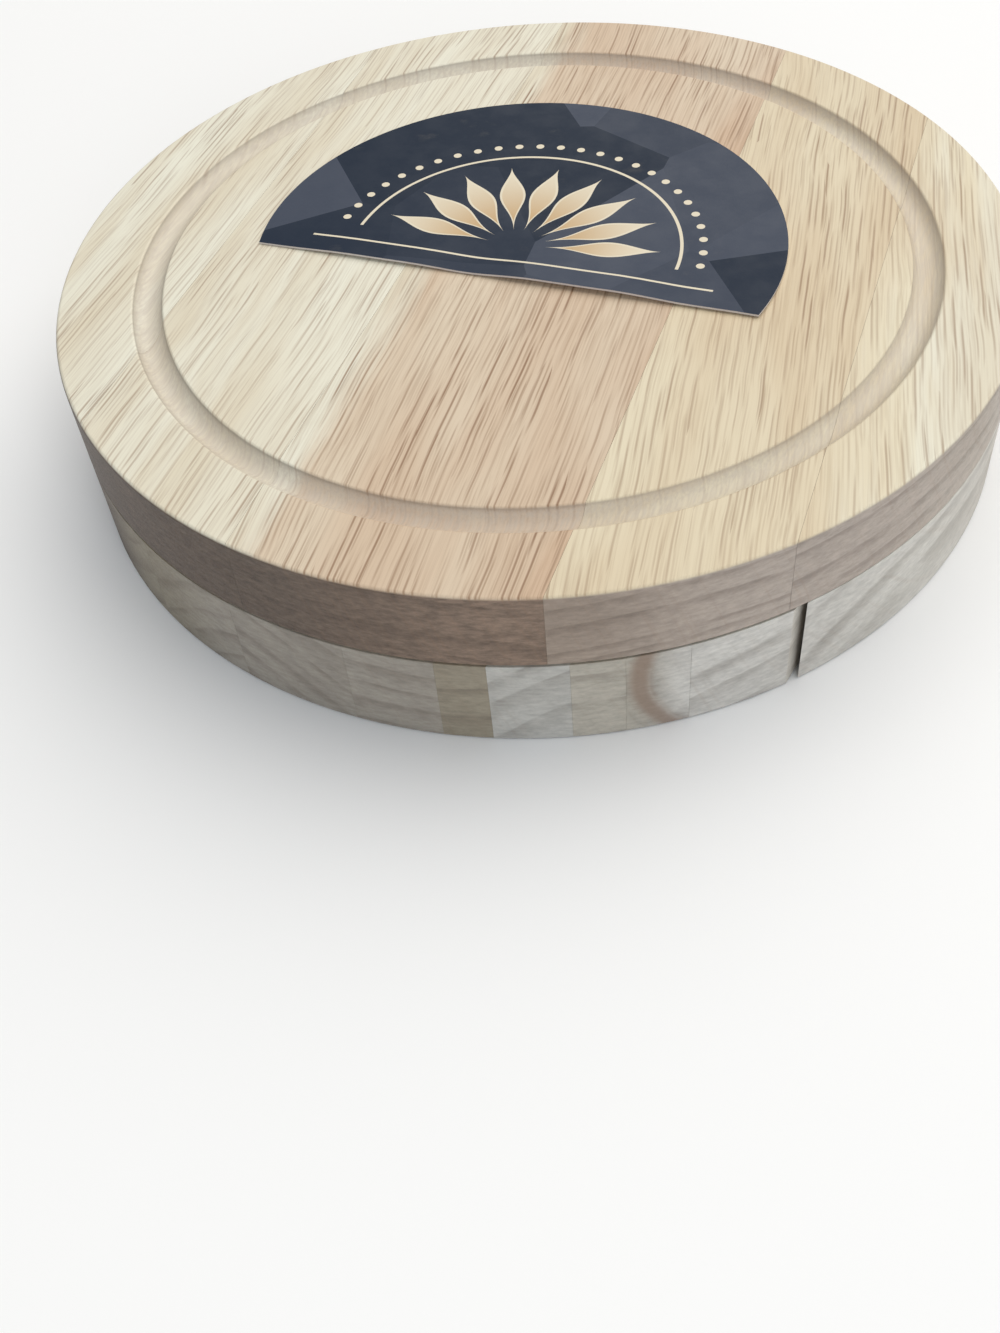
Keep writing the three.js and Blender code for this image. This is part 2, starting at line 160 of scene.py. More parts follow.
# First seeds of the wood's patterns, how far each seed lies from the next in millimetres, and in rings
BOARD_SEED = 0
TRAY_SEED = 20
BLOCK_SEED = 40
KNIFE_SEED = 50
SEED_STEP = (37.0, 91.0, 53.0)
RING_STEP = 7.3

# Layers of pores: counts per millimetre across and along the grain, and the weakest and strongest of them
Pores = namedtuple("Pores", "across along weakest strongest")
DARK_PORES = Pores(0.72, 0.038, 0.12, 0.86)
FAINT_PORES = Pores(1.4 * DARK_PORES.across, 1.5 * DARK_PORES.along, 0.06, 0.52)
PORE_OFFSET = (11.7, 5.3, 0.0)
PORE_SLANT = 0.35

# Patterns in the wood, counted per millimetre across the grain, along it and upright
SWAY = (0.020, 0.012, 0.020)
CLOUDS = (0.060, 0.012, 0.060)
FIBRES = (2.8, 0.030, 2.8)
FINGERS = (0.22, 0.014, 0.22)
DRIFTS = (0.09, 0.020, 0.09)
HAZE = (1.6, 0.14, 1.6)
RING_PATCHES = (0.10, 0.10, 0.16)
GRIT = (0.40, 0.40, 1.3)

# How markings in the wood come and go: the two values between which each changes, and its shares there
FACE_BANDS = (0.34, 0.68, 0.0, 0.50)
FACE_CLOUDS = (0.32, 0.68, 0.0, 0.50)
END_CLOUDS = (0.35, 0.70, 0.0, 0.14)
# Ends turn towards plain tan at the back, so their painted shade stays at the front
UNSHADED_BACK_ENDS = (-30.0, 50.0, 0.0, 0.60)
RING_DARKENS = (0.35, 0.88, 0.0, 1.0)
RING_ENDS = (0.90, 1.0, 1.0, 0.0)
LATE_WOOD = (0.30, 0.65, 0.08, 0.36)
PORE_WIDTH = (0.03, 0.26, 1.0, 0.0)
PORE_LENGTH = (0.20, 0.52, 1.0, 0.0)
PORE_DRIFTS = (0.36, 0.64, 0.60, 1.0)
# Painted shade and haze in the groove
GROOVE_SHADE_AND_HAZE = (0.30, 0.70, 0.32, 0.64)
UPRIGHT = (0.35, 0.85, 1.0, 0.0)
# Faces that look down take painted shade, for the seam between the layers
UNDERSIDE_SHADE = (-0.90, -0.40, 0.45, 0.0)
WOOD_ROUGHNESS = (0.30, 0.75, 0.46, 0.64)

# Values between which fibres show, and between which an upright surface turns to square end grain
FIBRE_RANGE = (0.42, 0.74)
SQUARE_RANGE = (0.15, 0.65)

# Widths in millimetres: the sway of the grain, the painted shade inside the lower layer's rim, and how far
# the groove's markings fade outside and inside its edges
SWAY_WIDTH = 5.0
RIM_SHADE_WIDTH = 1.2
GROOVE_OUTSIDE = 0.2
GROOVE_INSIDE = 0.6

# Shares: fibres, the painted shade inside the lower layer's rim and a brown ring at their strongest, how much
# of the end grain's colour the groove loses, how far the groove counts as end grain for the pores, and how
# much of them end grain hides
FIBRE_TINT = 0.20
RIM_SHADE_TINT = 0.85
STAIN_TINT = 0.70
GROOVE_SHELTER = 0.75
GROOVE_COVER = 0.6
PORES_HIDDEN = 0.85

# A brown ring fades between these numbers of half widths, and a neighbour's colour from this share of its
# width on, in fingers of this reach; ring widths wander this often and this much, counted in rings
STAIN_EDGE = (0.2, 1.2)
LEAD_START = 0.1
FINGER_REACH = 1.6
WANDER_COUNT = 0.6
WANDER = 1.6

# Gloss and relief of the wood: share of the fibres in the relief, its strength and its depth in metres
WOOD_GLOSS = 0.40
FIBRE_RELIEF = 0.4
WOOD_RELIEF = (0.30, 0.0001)

# Patterns on the other finishes, counted per millimetre along each axis
BRUSHING = (0.08, 9.0, 0.6)
STEEL_CLOUDS = (0.06, 0.06, 0.06)
SPANGLE = (0.9, 0.9, 0.9)
FINE_METAL = (6.0, 6.0, 6.0)
WAXY_CLOUDS = (0.5, 0.5, 0.5)
CARD_FACETS = (0.040, 0.030, 0.0)
CARD_GRAIN = (2.5, 2.5, 2.5)
CARD_SCUFFS = (0.12, 0.12, 0.12)
PAPER_FIBRES = (3.0, 3.0, 3.0)
FLOOR_CLOUDS = (0.004, 0.004, 0.004)

# Roughness of the other finishes, and how far brushing and turning change it
STEEL_ROUGHNESS = (0.26, 0.34)
BRUSHED_ROUGHNESS = 0.16
ZINC_ROUGHNESS = 0.36
BRASS_ROUGHNESS = 0.32
TURNED_ROUGHNESS = 0.08
NYLON_ROUGHNESS = (0.42, 0.56)
CARD_ROUGHNESS = (0.40, 0.54)
PAPER_ROUGHNESS = (0.75, 0.90)
FLOOR_ROUGHNESS = 0.85

# Relief of the other finishes: strength and depth in metres
STEEL_RELIEF = (0.12, 0.00005)
METAL_RELIEF = (0.15, 0.00005)
NYLON_RELIEF = (0.10, 0.0001)
CARD_RELIEF = (0.10, 0.00005)
PAPER_RELIEF = (0.20, 0.00005)

# The range that most noise lies in, the facets and scuffs of the printed card, its gloss, and the shares of
# fibres in bare card and of clouds on the floor
NOISE_RANGE = (0.3, 0.7)
FACET_RANGE = (0.30, 0.72)
CARD_SCUFFED = (0.60, 0.85, 0.0, 0.05)
CARD_GLOSS = 0.16
PAPER_TINT = 0.3
FLOOR_TINT = 0.03

# A knife's place in the tray: its own frame runs along +Y from the blade's end to the handle's end
Knife = namedtuple("Knife", "name x y azimuth blade ferrule handle start")
SOFT_KNIFE = Knife("soft_knife", 0.0377, -0.0095, 73.3, 0.072, 0.008, 0.070, -0.075)
FLAT_KNIFE = Knife("flat_knife", -0.0188, 0.0137, 77.0, 0.064, 0.007, 0.071, -0.071)

# Flank of a handle from ferrule to end: share of the widest radius, share of the length
HANDLE_FLANK = (
    (0.64, 0.0), (0.66, 0.12), (0.74, 0.32), (0.90, 0.58),
    (1.0, 0.78), (0.94, 0.90), (0.66, 0.98), (0.30, 1.0),
)

# Softened edges of a handle at its ferrule, and of a ferrule at the blade and at the handle
HANDLE_BREAK = 0.0003
FERRULE_ROUND = 0.0008
FERRULE_BREAK = 0.0002

# Blades: rows along and columns across them, share of the blade that is ground, fullness of the pointed
# blade's belly, length of the flat blade's shoulder, and how far the tang runs into the blade
BLADE_ROWS = 48
SOFT_COLUMNS = 12
FLAT_COLUMNS = 16
SOFT_GROUND = 0.45
FLAT_GROUND = 0.22
SOFT_BELLY = 1.25
FLAT_SHOULDER = 0.4
TANG_OVERLAP = 0.002

# Steps in the groove's section, along the pointed blade's recess, and in degrees round the recess's end
GROOVE_STEPS = 14
RECESS_STEPS = 5
RECESS_TURN = 15

# Places along one pitch of a thread where its crest begins and ends, and where its root begins
THREAD_CREST = (0.35, 0.50)
THREAD_ROOT = 0.85

# Wood screw: length of its point in radii, width of its tip, and its cross recess in shares of the head's
# radius, with the shares to which the recess narrows at its floor
SCREW_POINT = 3
SCREW_TIP = 1 / 8
CROSS_ARM = 0.55
CROSS_HALF = 0.13
CROSS_DEPTH = 0.45
CROSS_FLOOR = (0.45, 0.6, 1)

# Shares: the bolt's end of its shank, the outer part of its head that counts as rim, a ring's softened edges
BOLT_END = 0.7
HEAD_RIM = 0.9
RING_BREAK = 0.15

# Card: its rings of faces; the places where its straight edge is lifted, each with a share of the lift; how
# far to each side the edge is held there; and how far round that the card follows
CARD_RINGS = 12
CARD_LIFTS = ((-0.030, 0.55), (0.012, 1.0), (0.040, 0.35))
LIFT_HALF = 0.008
LIFT_REACH = 0.018

# Layout of the card's ornament: numbers of petals and dots, and in millimetres the heights above its straight
# edge, the radii about the fan's foot, and half the length and thickness of lines
FAN_HEIGHT = 11.0
FAN_PETALS = 9
FAN_INNER = 6.0
FAN_OUTER = 31.0
FAN_ARC = 35.0
FAN_RING = 39.5
FAN_DOTS = 26
RULE_HEIGHT = 5.5
RULE_HALF = 44.0
RULE_THICK = 0.3
ARC_THICK = 0.35
DOT_RADIUS = 0.9

# Greatest half width of a petal and the width of its edge, as shares of its sector
PETAL_WIDTH = 0.42
PETAL_EDGE = 0.07

# Studio lights: place, size, power in watts and tint
Light = namedtuple("Light", "name at size power tint")
LIGHTS = (
    Light("key", (0.35, 1.4, 2.3), 4.0, 97.0, (1.0, 0.97, 0.92)),
    Light("side", (1.06, -1.51, 0.95), 1.2, 15.0, (0.90, 0.95, 1.0)),
)

# Size of the floor in reaches, the share of its reach at which it begins to fade, and the camera's near limit
FLOOR_SPAN = 3
FLOOR_FADE = 0.3
NEAR_LIMIT = 0.01


def length(name, description, default):
    """A size in metres for the sidebar."""
    return FloatProperty(
        name=name, description=description, default=default, unit="LENGTH", subtype="DISTANCE")


def share(name, description, default):
    """A plain factor for the sidebar."""
    return FloatProperty(name=name, description=description, default=default, subtype="FACTOR", min=0, max=1)


def colour(name, description, default):
    """A colour for the sidebar."""
    return FloatVectorProperty(
        name=name, description=description, default=default, subtype="COLOR", size=3, min=0, max=1)


class BoardSizes(bpy.types.PropertyGroup):
    """Sizes of the serving board"""

    groove_radius: length("Groove Radius", "Outer radius of the juice groove", 0.0842)
    groove_width: length("Groove Width", "Width of the juice groove", 0.0063)
    groove_depth: length("Groove Depth", "Depth of the juice groove", 0.0022)
    groove_lip: length("Groove Lip", "Rounding of the groove's two edges", 0.0004)
    rim_round: length("Rim Round", "Rounding of the upper rim", 0.0008)
    edge_break: length("Edge Break", "Small sanded edge where the layers meet", 0.0002)
    glue_line: length("Glue Line", "Width of a joint between two staves", 0.00004)


class TraySizes(bpy.types.PropertyGroup):
    """Sizes of the knife tray and the foot block"""

    turn: FloatProperty(
        name="Turn", description="Turn of the tray's staves against the board's grain",
        default=math.radians(-12.3), subtype="ANGLE", unit="ROTATION")
    chord: length("Chord", "Distance of the straight cut from the middle", 0.08572)
    slit: length("Slit", "Gap between the tray and the foot block", 0.0014)
    handle_floor: length("Handle Floor", "Height of the floor under the handles", 0.0064)
    blade_floor: length("Blade Floor", "Height of the floor under the blades", 0.0094)
    margin: length("Margin", "Room between a handle and its pocket", 0.0025)
    floor_round: length("Floor Round", "Rounding at the foot of a pocket's wall", 0.0016)
    mouth: length("Mouth", "Softened edge of a pocket at the tray's upper face", 0.0004)
    channel_left: length("Channel Left", "Middle of the finger channel's left end", -0.026)
    channel_right: length("Channel Right", "Middle of the finger channel's right end", 0.058)
    channel_y: length("Channel Place", "Middle line of the finger channel", 0.026)
    channel_half: length("Channel Half Width", "Half the finger channel's width", 0.012)


class HardwareSizes(bpy.types.PropertyGroup):
    """Sizes of the pivot and the screws"""

    bolt_radius: length("Bolt Radius", "Radius of the pivot bolt's shank", 0.003)
    head_height: length("Head Height", "Height of the pivot bolt's head", 0.003)
    socket_radius: length("Socket Radius", "Corner radius of the bolt's hexagon socket", 0.0023)
    socket_depth: length("Socket Depth", "Depth of the bolt's hexagon socket", 0.0016)
    screw_radius: length("Screw Radius", "Radius of a wood screw over its thread", 0.002)
    screw_cone: length("Screw Cone", "Height of a wood screw's countersunk head", 0.0024)
    thread_depth: length("Thread Depth", "Depth of the threads", 0.0005)
    bolt_pitch: length("Bolt Pitch", "Distance between two threads of the bolt", 0.001)
    screw_pitch: length("Screw Pitch", "Distance between two threads of a wood screw", 0.0018)
    fit: length("Fit", "Room around fitted hardware", 0.0003)


class KnifeSizes(bpy.types.PropertyGroup):
    """Sizes that both knives share"""

    handle_radius: length("Handle Radius", "Half the handle's greatest width", 0.010)
    flatness: share("Flatness", "Thickness of a handle as a share of its width", 0.62)
    thickness: length("Blade Thickness", "Thickness of a blade at its back", 0.0018)
    edge_share: share("Edge", "Thickness of the ground edge as a share of the blade's", 0.14)
    soft_half: length("Soft Blade", "Half the greatest width of the pointed blade", 0.011)
    soft_heel: length("Soft Heel", "Half the width of the pointed blade at the ferrule", 0.005)
    soft_tip: length("Soft Tip", "How far the point lies off the middle line", 0.0055)
    flat_half: length("Flat Blade", "Half the greatest width of the flat blade", 0.021)
    flat_heel: length("Flat Heel", "Half the width of the flat blade at the ferrule", 0.006)
    flat_bow: length("Flat Bow", "How far the flat blade's edge is bowed", 0.003)
    tang_width: length("Tang Width", "Width of the tang in the handle", 0.005)
    tang_length: length("Tang Length", "Length of the tang in the handle", 0.040)
    fit: length("Fit", "Room around the tang", 0.0003)


class CardSizes(bpy.types.PropertyGroup):
    """Sizes and colours of the label card"""

    radius: length("Radius", "Radius of the card's round edge", 0.0562)
    middle_x: length("Middle X", "Middle of the card's round edge", -0.0036)
    middle_y: length("Middle Y", "Middle of the card's round edge", 0.002)
    cut: length("Cut", "How far below that middle the card is cut straight", 0.0136)
    lift: length("Lift", "How far the straight edge stands off the board", 0.0009)
    ground: colour("Ground", "Darkest print", shade(13, 30, 50))
    facet: colour("Facet", "Lighter facets of the print", shade(62, 69, 84))
    petal: colour("Petal", "Ornament", shade(196, 160, 112))
    line: colour("Line", "Fine lines and dots", shade(226, 214, 190))
    paper: colour("Paper", "Bare card at the edges and below", shade(214, 205, 200))
    fibre: colour("Fibres", "Darker fibres of the bare card", shade(190, 180, 172))


class WoodColours(bpy.types.PropertyGroup):
    """Colours of the wood"""

    pale: colour("Pale", "Palest staves", shade(234, 230, 212))
    pale_dark: colour("Pale Bands", "Darker bands of the palest staves", shade(220, 208, 183))
    straw: colour("Straw", "Yellower staves", shade(229, 218, 190))
    straw_dark: colour("Straw Bands", "Darker bands of the yellower staves", shade(214, 194, 162))
    tan: colour("Tan", "Pinkish staves", shade(218, 200, 175))
    tan_dark: colour("Tan Bands", "Darker bands of the pinkish staves", shade(201, 169, 139))
    pore: colour("Pores", "Open pores along the grain", shade(142, 108, 80))
    stain: colour("Stain", "Brown growth rings", shade(126, 98, 78))
    # Painted shade and haze for the juice groove
    groove: colour("Groove", "Dusty wood in the juice groove", shade(194, 182, 169))
    end_white: colour("White Ends", "End grain of the palest staves", shade(202, 198, 191))
    end_pale: colour("Pale Ends", "End grain of the greyish pale staves", shade(186, 183, 176))
    end_beige: colour("Beige Ends", "End grain of the yellowish pale staves", shade(181, 174, 161))
    end_tan: colour("Tan Ends", "End grain of the middling staves", shade(174, 161, 150))
    end_sand: colour("Sand Ends", "End grain of the browner middling staves", shade(156, 140, 126))
    end_grey: colour("Grey Ends", "End grain of the greyer staves", shade(158, 150, 139))
    end_olive: colour("Olive Ends", "End grain of the brownish grey staves", shade(152, 142, 124))
    end_brown: colour("Brown Ends", "End grain of the brown staves", shade(134, 113, 97))
    # Umber ends: partly the darkest staves' own end grain, partly painted shade for the board's shaded left
    # side
    end_umber: colour("Umber Ends", "End grain of the darkest staves", shade(98, 84, 73))
    # Dark rings and sawn roughness, and also the colour of the painted shade on faces that look down
    end_dark_and_shade: colour("Dark Rings", "Rings and sawn roughness in the end grain", shade(82, 67, 56))


class FinishColours(bpy.types.PropertyGroup):
    """Colours of the metals and the nylon"""

    steel: colour("Steel", "Lighter brushing of the blades and ferrules", shade(190, 191, 193))
    steel_dark: colour("Dark Steel", "Darker brushing of the blades and ferrules", shade(158, 160, 164))
    zinc: colour("Zinc", "Lighter plating of the screws, bolt and washer", shade(176, 178, 182))
    zinc_dark: colour("Dark Zinc", "Darker plating of the screws, bolt and washer", shade(140, 143, 148))
    brass: colour("Brass", "Lighter parts of the insert", shade(198, 168, 98))
    brass_dark: colour("Dark Brass", "Darker parts of the insert", shade(166, 136, 70))
    nylon: colour("Nylon", "Lighter clouds of the spacer", shade(238, 236, 228))
    nylon_dark: colour("Dark Nylon", "Darker clouds of the spacer", shade(226, 223, 212))


class StageSettings(bpy.types.PropertyGroup):
    """Camera, lights and floor"""

    eye: FloatVectorProperty(
        name="Eye", description="Place of the camera", default=(0.092752, -0.245658, 0.212995),
        subtype="TRANSLATION", unit="LENGTH")
    target: FloatVectorProperty(
        name="Target", description="Point on the floor that the camera looks at",
        default=(0.018515, -0.080472, 0.0), subtype="TRANSLATION", unit="LENGTH")
    roll: FloatProperty(
        name="Roll", description="Tilt of the camera about its line of sight",
        default=math.radians(6.25), subtype="ANGLE", unit="ROTATION")
    lens: FloatProperty(name="Lens", description="Focal length for a 36 mm picture height", default=38.96)
    floor: colour("Floor", "Plain pale floor", (0.94, 0.93, 0.92))
    backdrop: colour("Backdrop", "Pale studio behind the floor", (0.93, 0.93, 0.93))
    sky: colour("Sky", "Soft light from all round", (0.84, 0.92, 1.0))
    sky_strength: FloatProperty(
        name="Sky Strength", description="Strength of the soft light from all round", default=0.28)
    floor_drop: length("Floor Drop", "How far the floor lies below the board's underside", 0.0002)
    floor_reach: length("Floor Reach", "Distance at which the floor has faded into the backdrop", 2.2)


class CheeseBoardSettings(bpy.types.PropertyGroup):
    """All settings of the cheese board"""

    board: PointerProperty(type=BoardSizes)
    tray: PointerProperty(type=TraySizes)
    hardware: PointerProperty(type=HardwareSizes)
    knives: PointerProperty(type=KnifeSizes)
    card: PointerProperty(type=CardSizes)
    wood: PointerProperty(type=WoodColours)
    finishes: PointerProperty(type=FinishColours)
    stage: PointerProperty(type=StageSettings)


# Working in object and edit mode

def open_desk():
    """Object mode with nothing selected, ready for a new primitive."""
    if bpy.context.mode != "OBJECT":
        bpy.ops.object.mode_set(mode="OBJECT")
    bpy.ops.object.select_all(action="DESELECT")


def select_only(piece):
    """Leaves edit mode and makes the piece the one selected and active object."""
    open_desk()
    piece.select_set(True)
    bpy.context.view_layer.objects.active = piece


def edit(piece):
    """Opens the piece in edit mode."""
    select_only(piece)
    bpy.ops.object.mode_set(mode="EDIT")


def close_edit():
    """Goes back to object mode."""
    bpy.ops.object.mode_set(mode="OBJECT")


def pick(piece, kind, test):
    """Selects the vertices, edges or faces of the opened piece that pass the test."""
    bpy.ops.mesh.select_mode(type=kind)
    bpy.ops.mesh.select_all(action="DESELECT")
    shape = bmesh.from_edit_mesh(piece.data)
    members = {"VERT": shape.verts, "EDGE": shape.edges, "FACE": shape.faces}[kind]
    shape.normal_update()
    found = [member for member in members if test(member)]
    if not found:
        raise RuntimeError(f"nothing to select on {piece.name}")
    for member in found:
        member.select_set(True)
    shape.select_flush_mode()
    bmesh.update_edit_mesh(piece.data)


def lies_at(edge, axis, place_on_axis):
    """Whether both ends of an edge lie at one place on an axis."""
    return all(abs(getattr(vert.co, axis) - place_on_axis) < SMALL for vert in edge.verts)


def at_height(edge, height):
    """Whether an edge lies flat at this height."""
    return lies_at(edge, "z", height)


def on_ring(edge, radius):
    """Whether both ends of an edge lie on a ring about the middle."""
    return all(abs(vert.co.xy.length - radius) < RING_SLACK for vert in edge.verts)


def is_upright(edge):
    """Whether an edge leads up or down."""
    return abs(edge.verts[0].co.z - edge.verts[1].co.z) > SMALL


def faces_up(face):
    """Whether a face looks up."""
    return face.normal.z > FACING


def select_all():
    """Selects all of the opened piece."""
    bpy.ops.mesh.select_all(action="SELECT")


def extrude(move):
    """Extrudes what is selected by a move."""
    bpy.ops.mesh.extrude_region_move(TRANSFORM_OT_translate={"value": move})


def stretch(factors, middle=(0, 0, 0)):
    """Scales what is selected about a middle."""
    bpy.ops.transform.resize(value=factors, center_override=middle)


def round_edges(offset, segments):
    """Rounds the selected edges."""
    bpy.ops.mesh.bevel(offset=offset, segments=segments, profile=0.5, affect="EDGES", clamp_overlap=False)


def new_piece(name):
    """Names the object that was just added and puts its place into its mesh."""
    piece = bpy.context.active_object
    piece.name = name
    piece.data.name = name
    bpy.ops.object.transform_apply(location=True, rotation=True, scale=True)
    return piece


def add_disc(name, radius, low, high, sides, at=(0.0, 0.0)):
    """A round blank standing on its axis."""
    open_desk()
    bpy.ops.mesh.primitive_cylinder_add(
        vertices=sides, radius=radius, depth=high - low, location=(at[0], at[1], (low + high) / 2))
    return new_piece(name)


def add_block(name, low, high):
    """A square blank between two corners."""
    open_desk()
    low, high = Vector(low), Vector(high)
    bpy.ops.mesh.primitive_cube_add(size=1, location=(low + high) / 2, scale=high - low)
    return new_piece(name)


def duplicate(piece, name):
    """A copy with its own mesh."""
    select_only(piece)
    bpy.ops.object.duplicate(linked=False)
    return new_piece(name)


def remove(piece):
    """Deletes a blank that is used up."""
    mesh = piece.data
    bpy.data.objects.remove(piece)
    bpy.data.meshes.remove(mesh)


def apply_modifier(piece, kind, **settings):
    """Adds a modifier with these settings and applies it."""
    select_only(piece)
    modifier = piece.modifiers.new(kind.lower(), kind)
    for name, value in settings.items():
        setattr(modifier, name, value)
    bpy.ops.object.modifier_apply(modifier=modifier.name)


def carve(piece, cutter):
    """Cuts the cutter's shape out of the piece and uses the cutter up."""
    apply_modifier(piece, "BOOLEAN", operation="DIFFERENCE", solver="EXACT", object=cutter)
    remove(cutter)


def weld(piece, addition):
    """Joins a second solid to the piece and uses it up."""
    apply_modifier(piece, "BOOLEAN", operation="UNION", solver="EXACT", object=addition)
    remove(addition)


def saw(piece, left=None, right=None):
    """Saws the piece across X, beside what is to be kept."""
    far = SAW_REACH
    if left is not None:
        carve(piece, add_block("offcut", (-far, -far, -far), (left, far, far)))
    if right is not None:
        carve(piece, add_block("offcut", (right, -far, -far), (far, far, far)))


def saw_staves(blank, staves, prefix, joint, right_end=None):
    """Saws a blank into its staves and uses it up."""
    pieces = []
    left = None
    for number, stave in enumerate(staves, start=1):
        piece = duplicate(blank, f"{prefix}_{number}")
        right = right_end if stave.right is None else stave.right - joint / 2
        saw(piece, left, right)
        left = None if stave.right is None else stave.right + joint / 2
        pieces.append(piece)
    remove(blank)
    return pieces


def left_joint(staves, number):
    """Place of the joint at the left of a numbered stave, or of the rim."""
    return staves[number - 2].right if number > 1 else -BOARD_RADIUS


def place(piece, turn, at=(0.0, 0.0, 0.0)):
    """Turns the piece about Z, moves it and puts that into its mesh."""
    select_only(piece)
    piece.rotation_euler.z = turn
    piece.location = at
    bpy.ops.object.transform_apply(location=True, rotation=True, scale=True)


def finish(piece, material, body, node):
    """Shades the piece, gives it its material and hands it to the frame."""
    select_only(piece)
    bpy.ops.object.shade_smooth_by_angle(angle=SMOOTH_ANGLE)
    apply_modifier(piece, "WEIGHTED_NORMAL", mode="FACE_AREA", keep_sharp=True)
    if not piece.data.materials:
        piece.data.materials.append(material)
    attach(piece, body)
    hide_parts(node)


# Materials

class Shader:
    """Builds one material: most methods add a node and give back its output."""

    def __init__(self, name):
        self.material = bpy.data.materials.new(name)
        self.material.use_nodes = True
        self.tree = self.material.node_tree
        self.surface = self.tree.nodes["Principled BSDF"]

    def add(self, kind, values, output=0, **settings):
        node = self.tree.nodes.new(kind)
        for name, value in settings.items():
            setattr(node, name, value)
        for key, value in values.items():
            self.feed(node.inputs[key], value)
        return node.outputs[output]

    def feed(self, socket, value):
        if isinstance(value, bpy.types.NodeSocket):
            self.tree.links.new(value, socket)
        else:
            socket.default_value = value

    def set(self, **values):
        for name, value in values.items():
            self.feed(self.surface.inputs[name.replace("_", " ").title()], value)

    def set_gloss(self, level):
        self.surface.inputs["Specular IOR Level"].default_value = level

    def object_place(self, turn=0.0, middle=(0, 0, 0)):
        """Object coordinates in millimetres about a middle, turned back by an angle about Z."""
        source = self.add("ShaderNodeTexCoord", {}, output="Object")
        moved = self.vector("SUBTRACT", source, middle)
        values = {"Vector": moved, "Rotation": (0, 0, -turn), "Scale": (PER_METRE,) * 3}
        return self.add("ShaderNodeMapping", values, vector_type="POINT")

    def normal(self):
        return self.add("ShaderNodeTexCoord", {}, output="Normal")

    def vector(self, operation, first, second=(0, 0, 0)):
        return self.add("ShaderNodeVectorMath", {0: first, 1: second}, operation=operation)

    def reach(self, vector):
        """Distance from the middle."""
        return self.add("ShaderNodeVectorMath", {0: vector}, output="Value", operation="LENGTH")

    def flat_reach(self, vector):
        """Distance from the upright line through the middle."""
        return self.reach(self.vector("MULTIPLY", vector, (1, 1, 0)))

    def part(self, vector, axis):
        return self.add("ShaderNodeSeparateXYZ", {0: vector}, output=axis)

    def math(self, operation, first, second=0.0, third=0.0):
        return self.add("ShaderNodeMath", {0: first, 1: second, 2: third}, operation=operation)

    def ease(self, value, low, high, start=0.0, end=1.0):
        """A smooth step from start to end as the value goes from low to high."""
        values = {"Value": value, "From Min": low, "From Max": high, "To Min": start, "To Max": end}
        return self.add("ShaderNodeMapRange", values, interpolation_type="SMOOTHSTEP")

    def spread(self, noise, start, end):
        """A smooth step from start to end over the range that most noise lies in."""
        return self.ease(noise, *NOISE_RANGE, start, end)

    def mix(self, factor, first, second):
        values = {0: factor, 6: opaque(first), 7: opaque(second)}
        return self.add("ShaderNodeMix", values, output=2, data_type="RGBA")

    def noise(self, vector, counts, detail=2.0, roughness=0.5, output="Fac"):
        """Noise with these counts per millimetre along each axis."""
        counted = self.vector("MULTIPLY", vector, counts)
        values = {"Vector": counted, "Scale": 1.0, "Detail": detail, "Roughness": roughness}
        return self.add("ShaderNodeTexNoise", values, output=output)

    def line_noise(self, distance, detail=2.0):
        values = {"W": distance, "Scale": 1.0, "Detail": detail}
        return self.add("ShaderNodeTexNoise", values, noise_dimensions="1D")

    def cells(self, vector, output):
        values = {"Vector": vector, "Scale": 1.0}
        return self.add("ShaderNodeTexVoronoi", values, output=output, voronoi_dimensions="2D")

    def bump(self, height, strength, distance):
        values = {"Height": height, "Strength": strength, "Distance": distance}
        self.feed(self.surface.inputs["Normal"], self.add("ShaderNodeBump", values))


def opaque(value):
    """A colour with its fourth value, or a socket as it is."""
    return value if isinstance(value, bpy.types.NodeSocket) else (*tuple(value)[:3], 1.0)


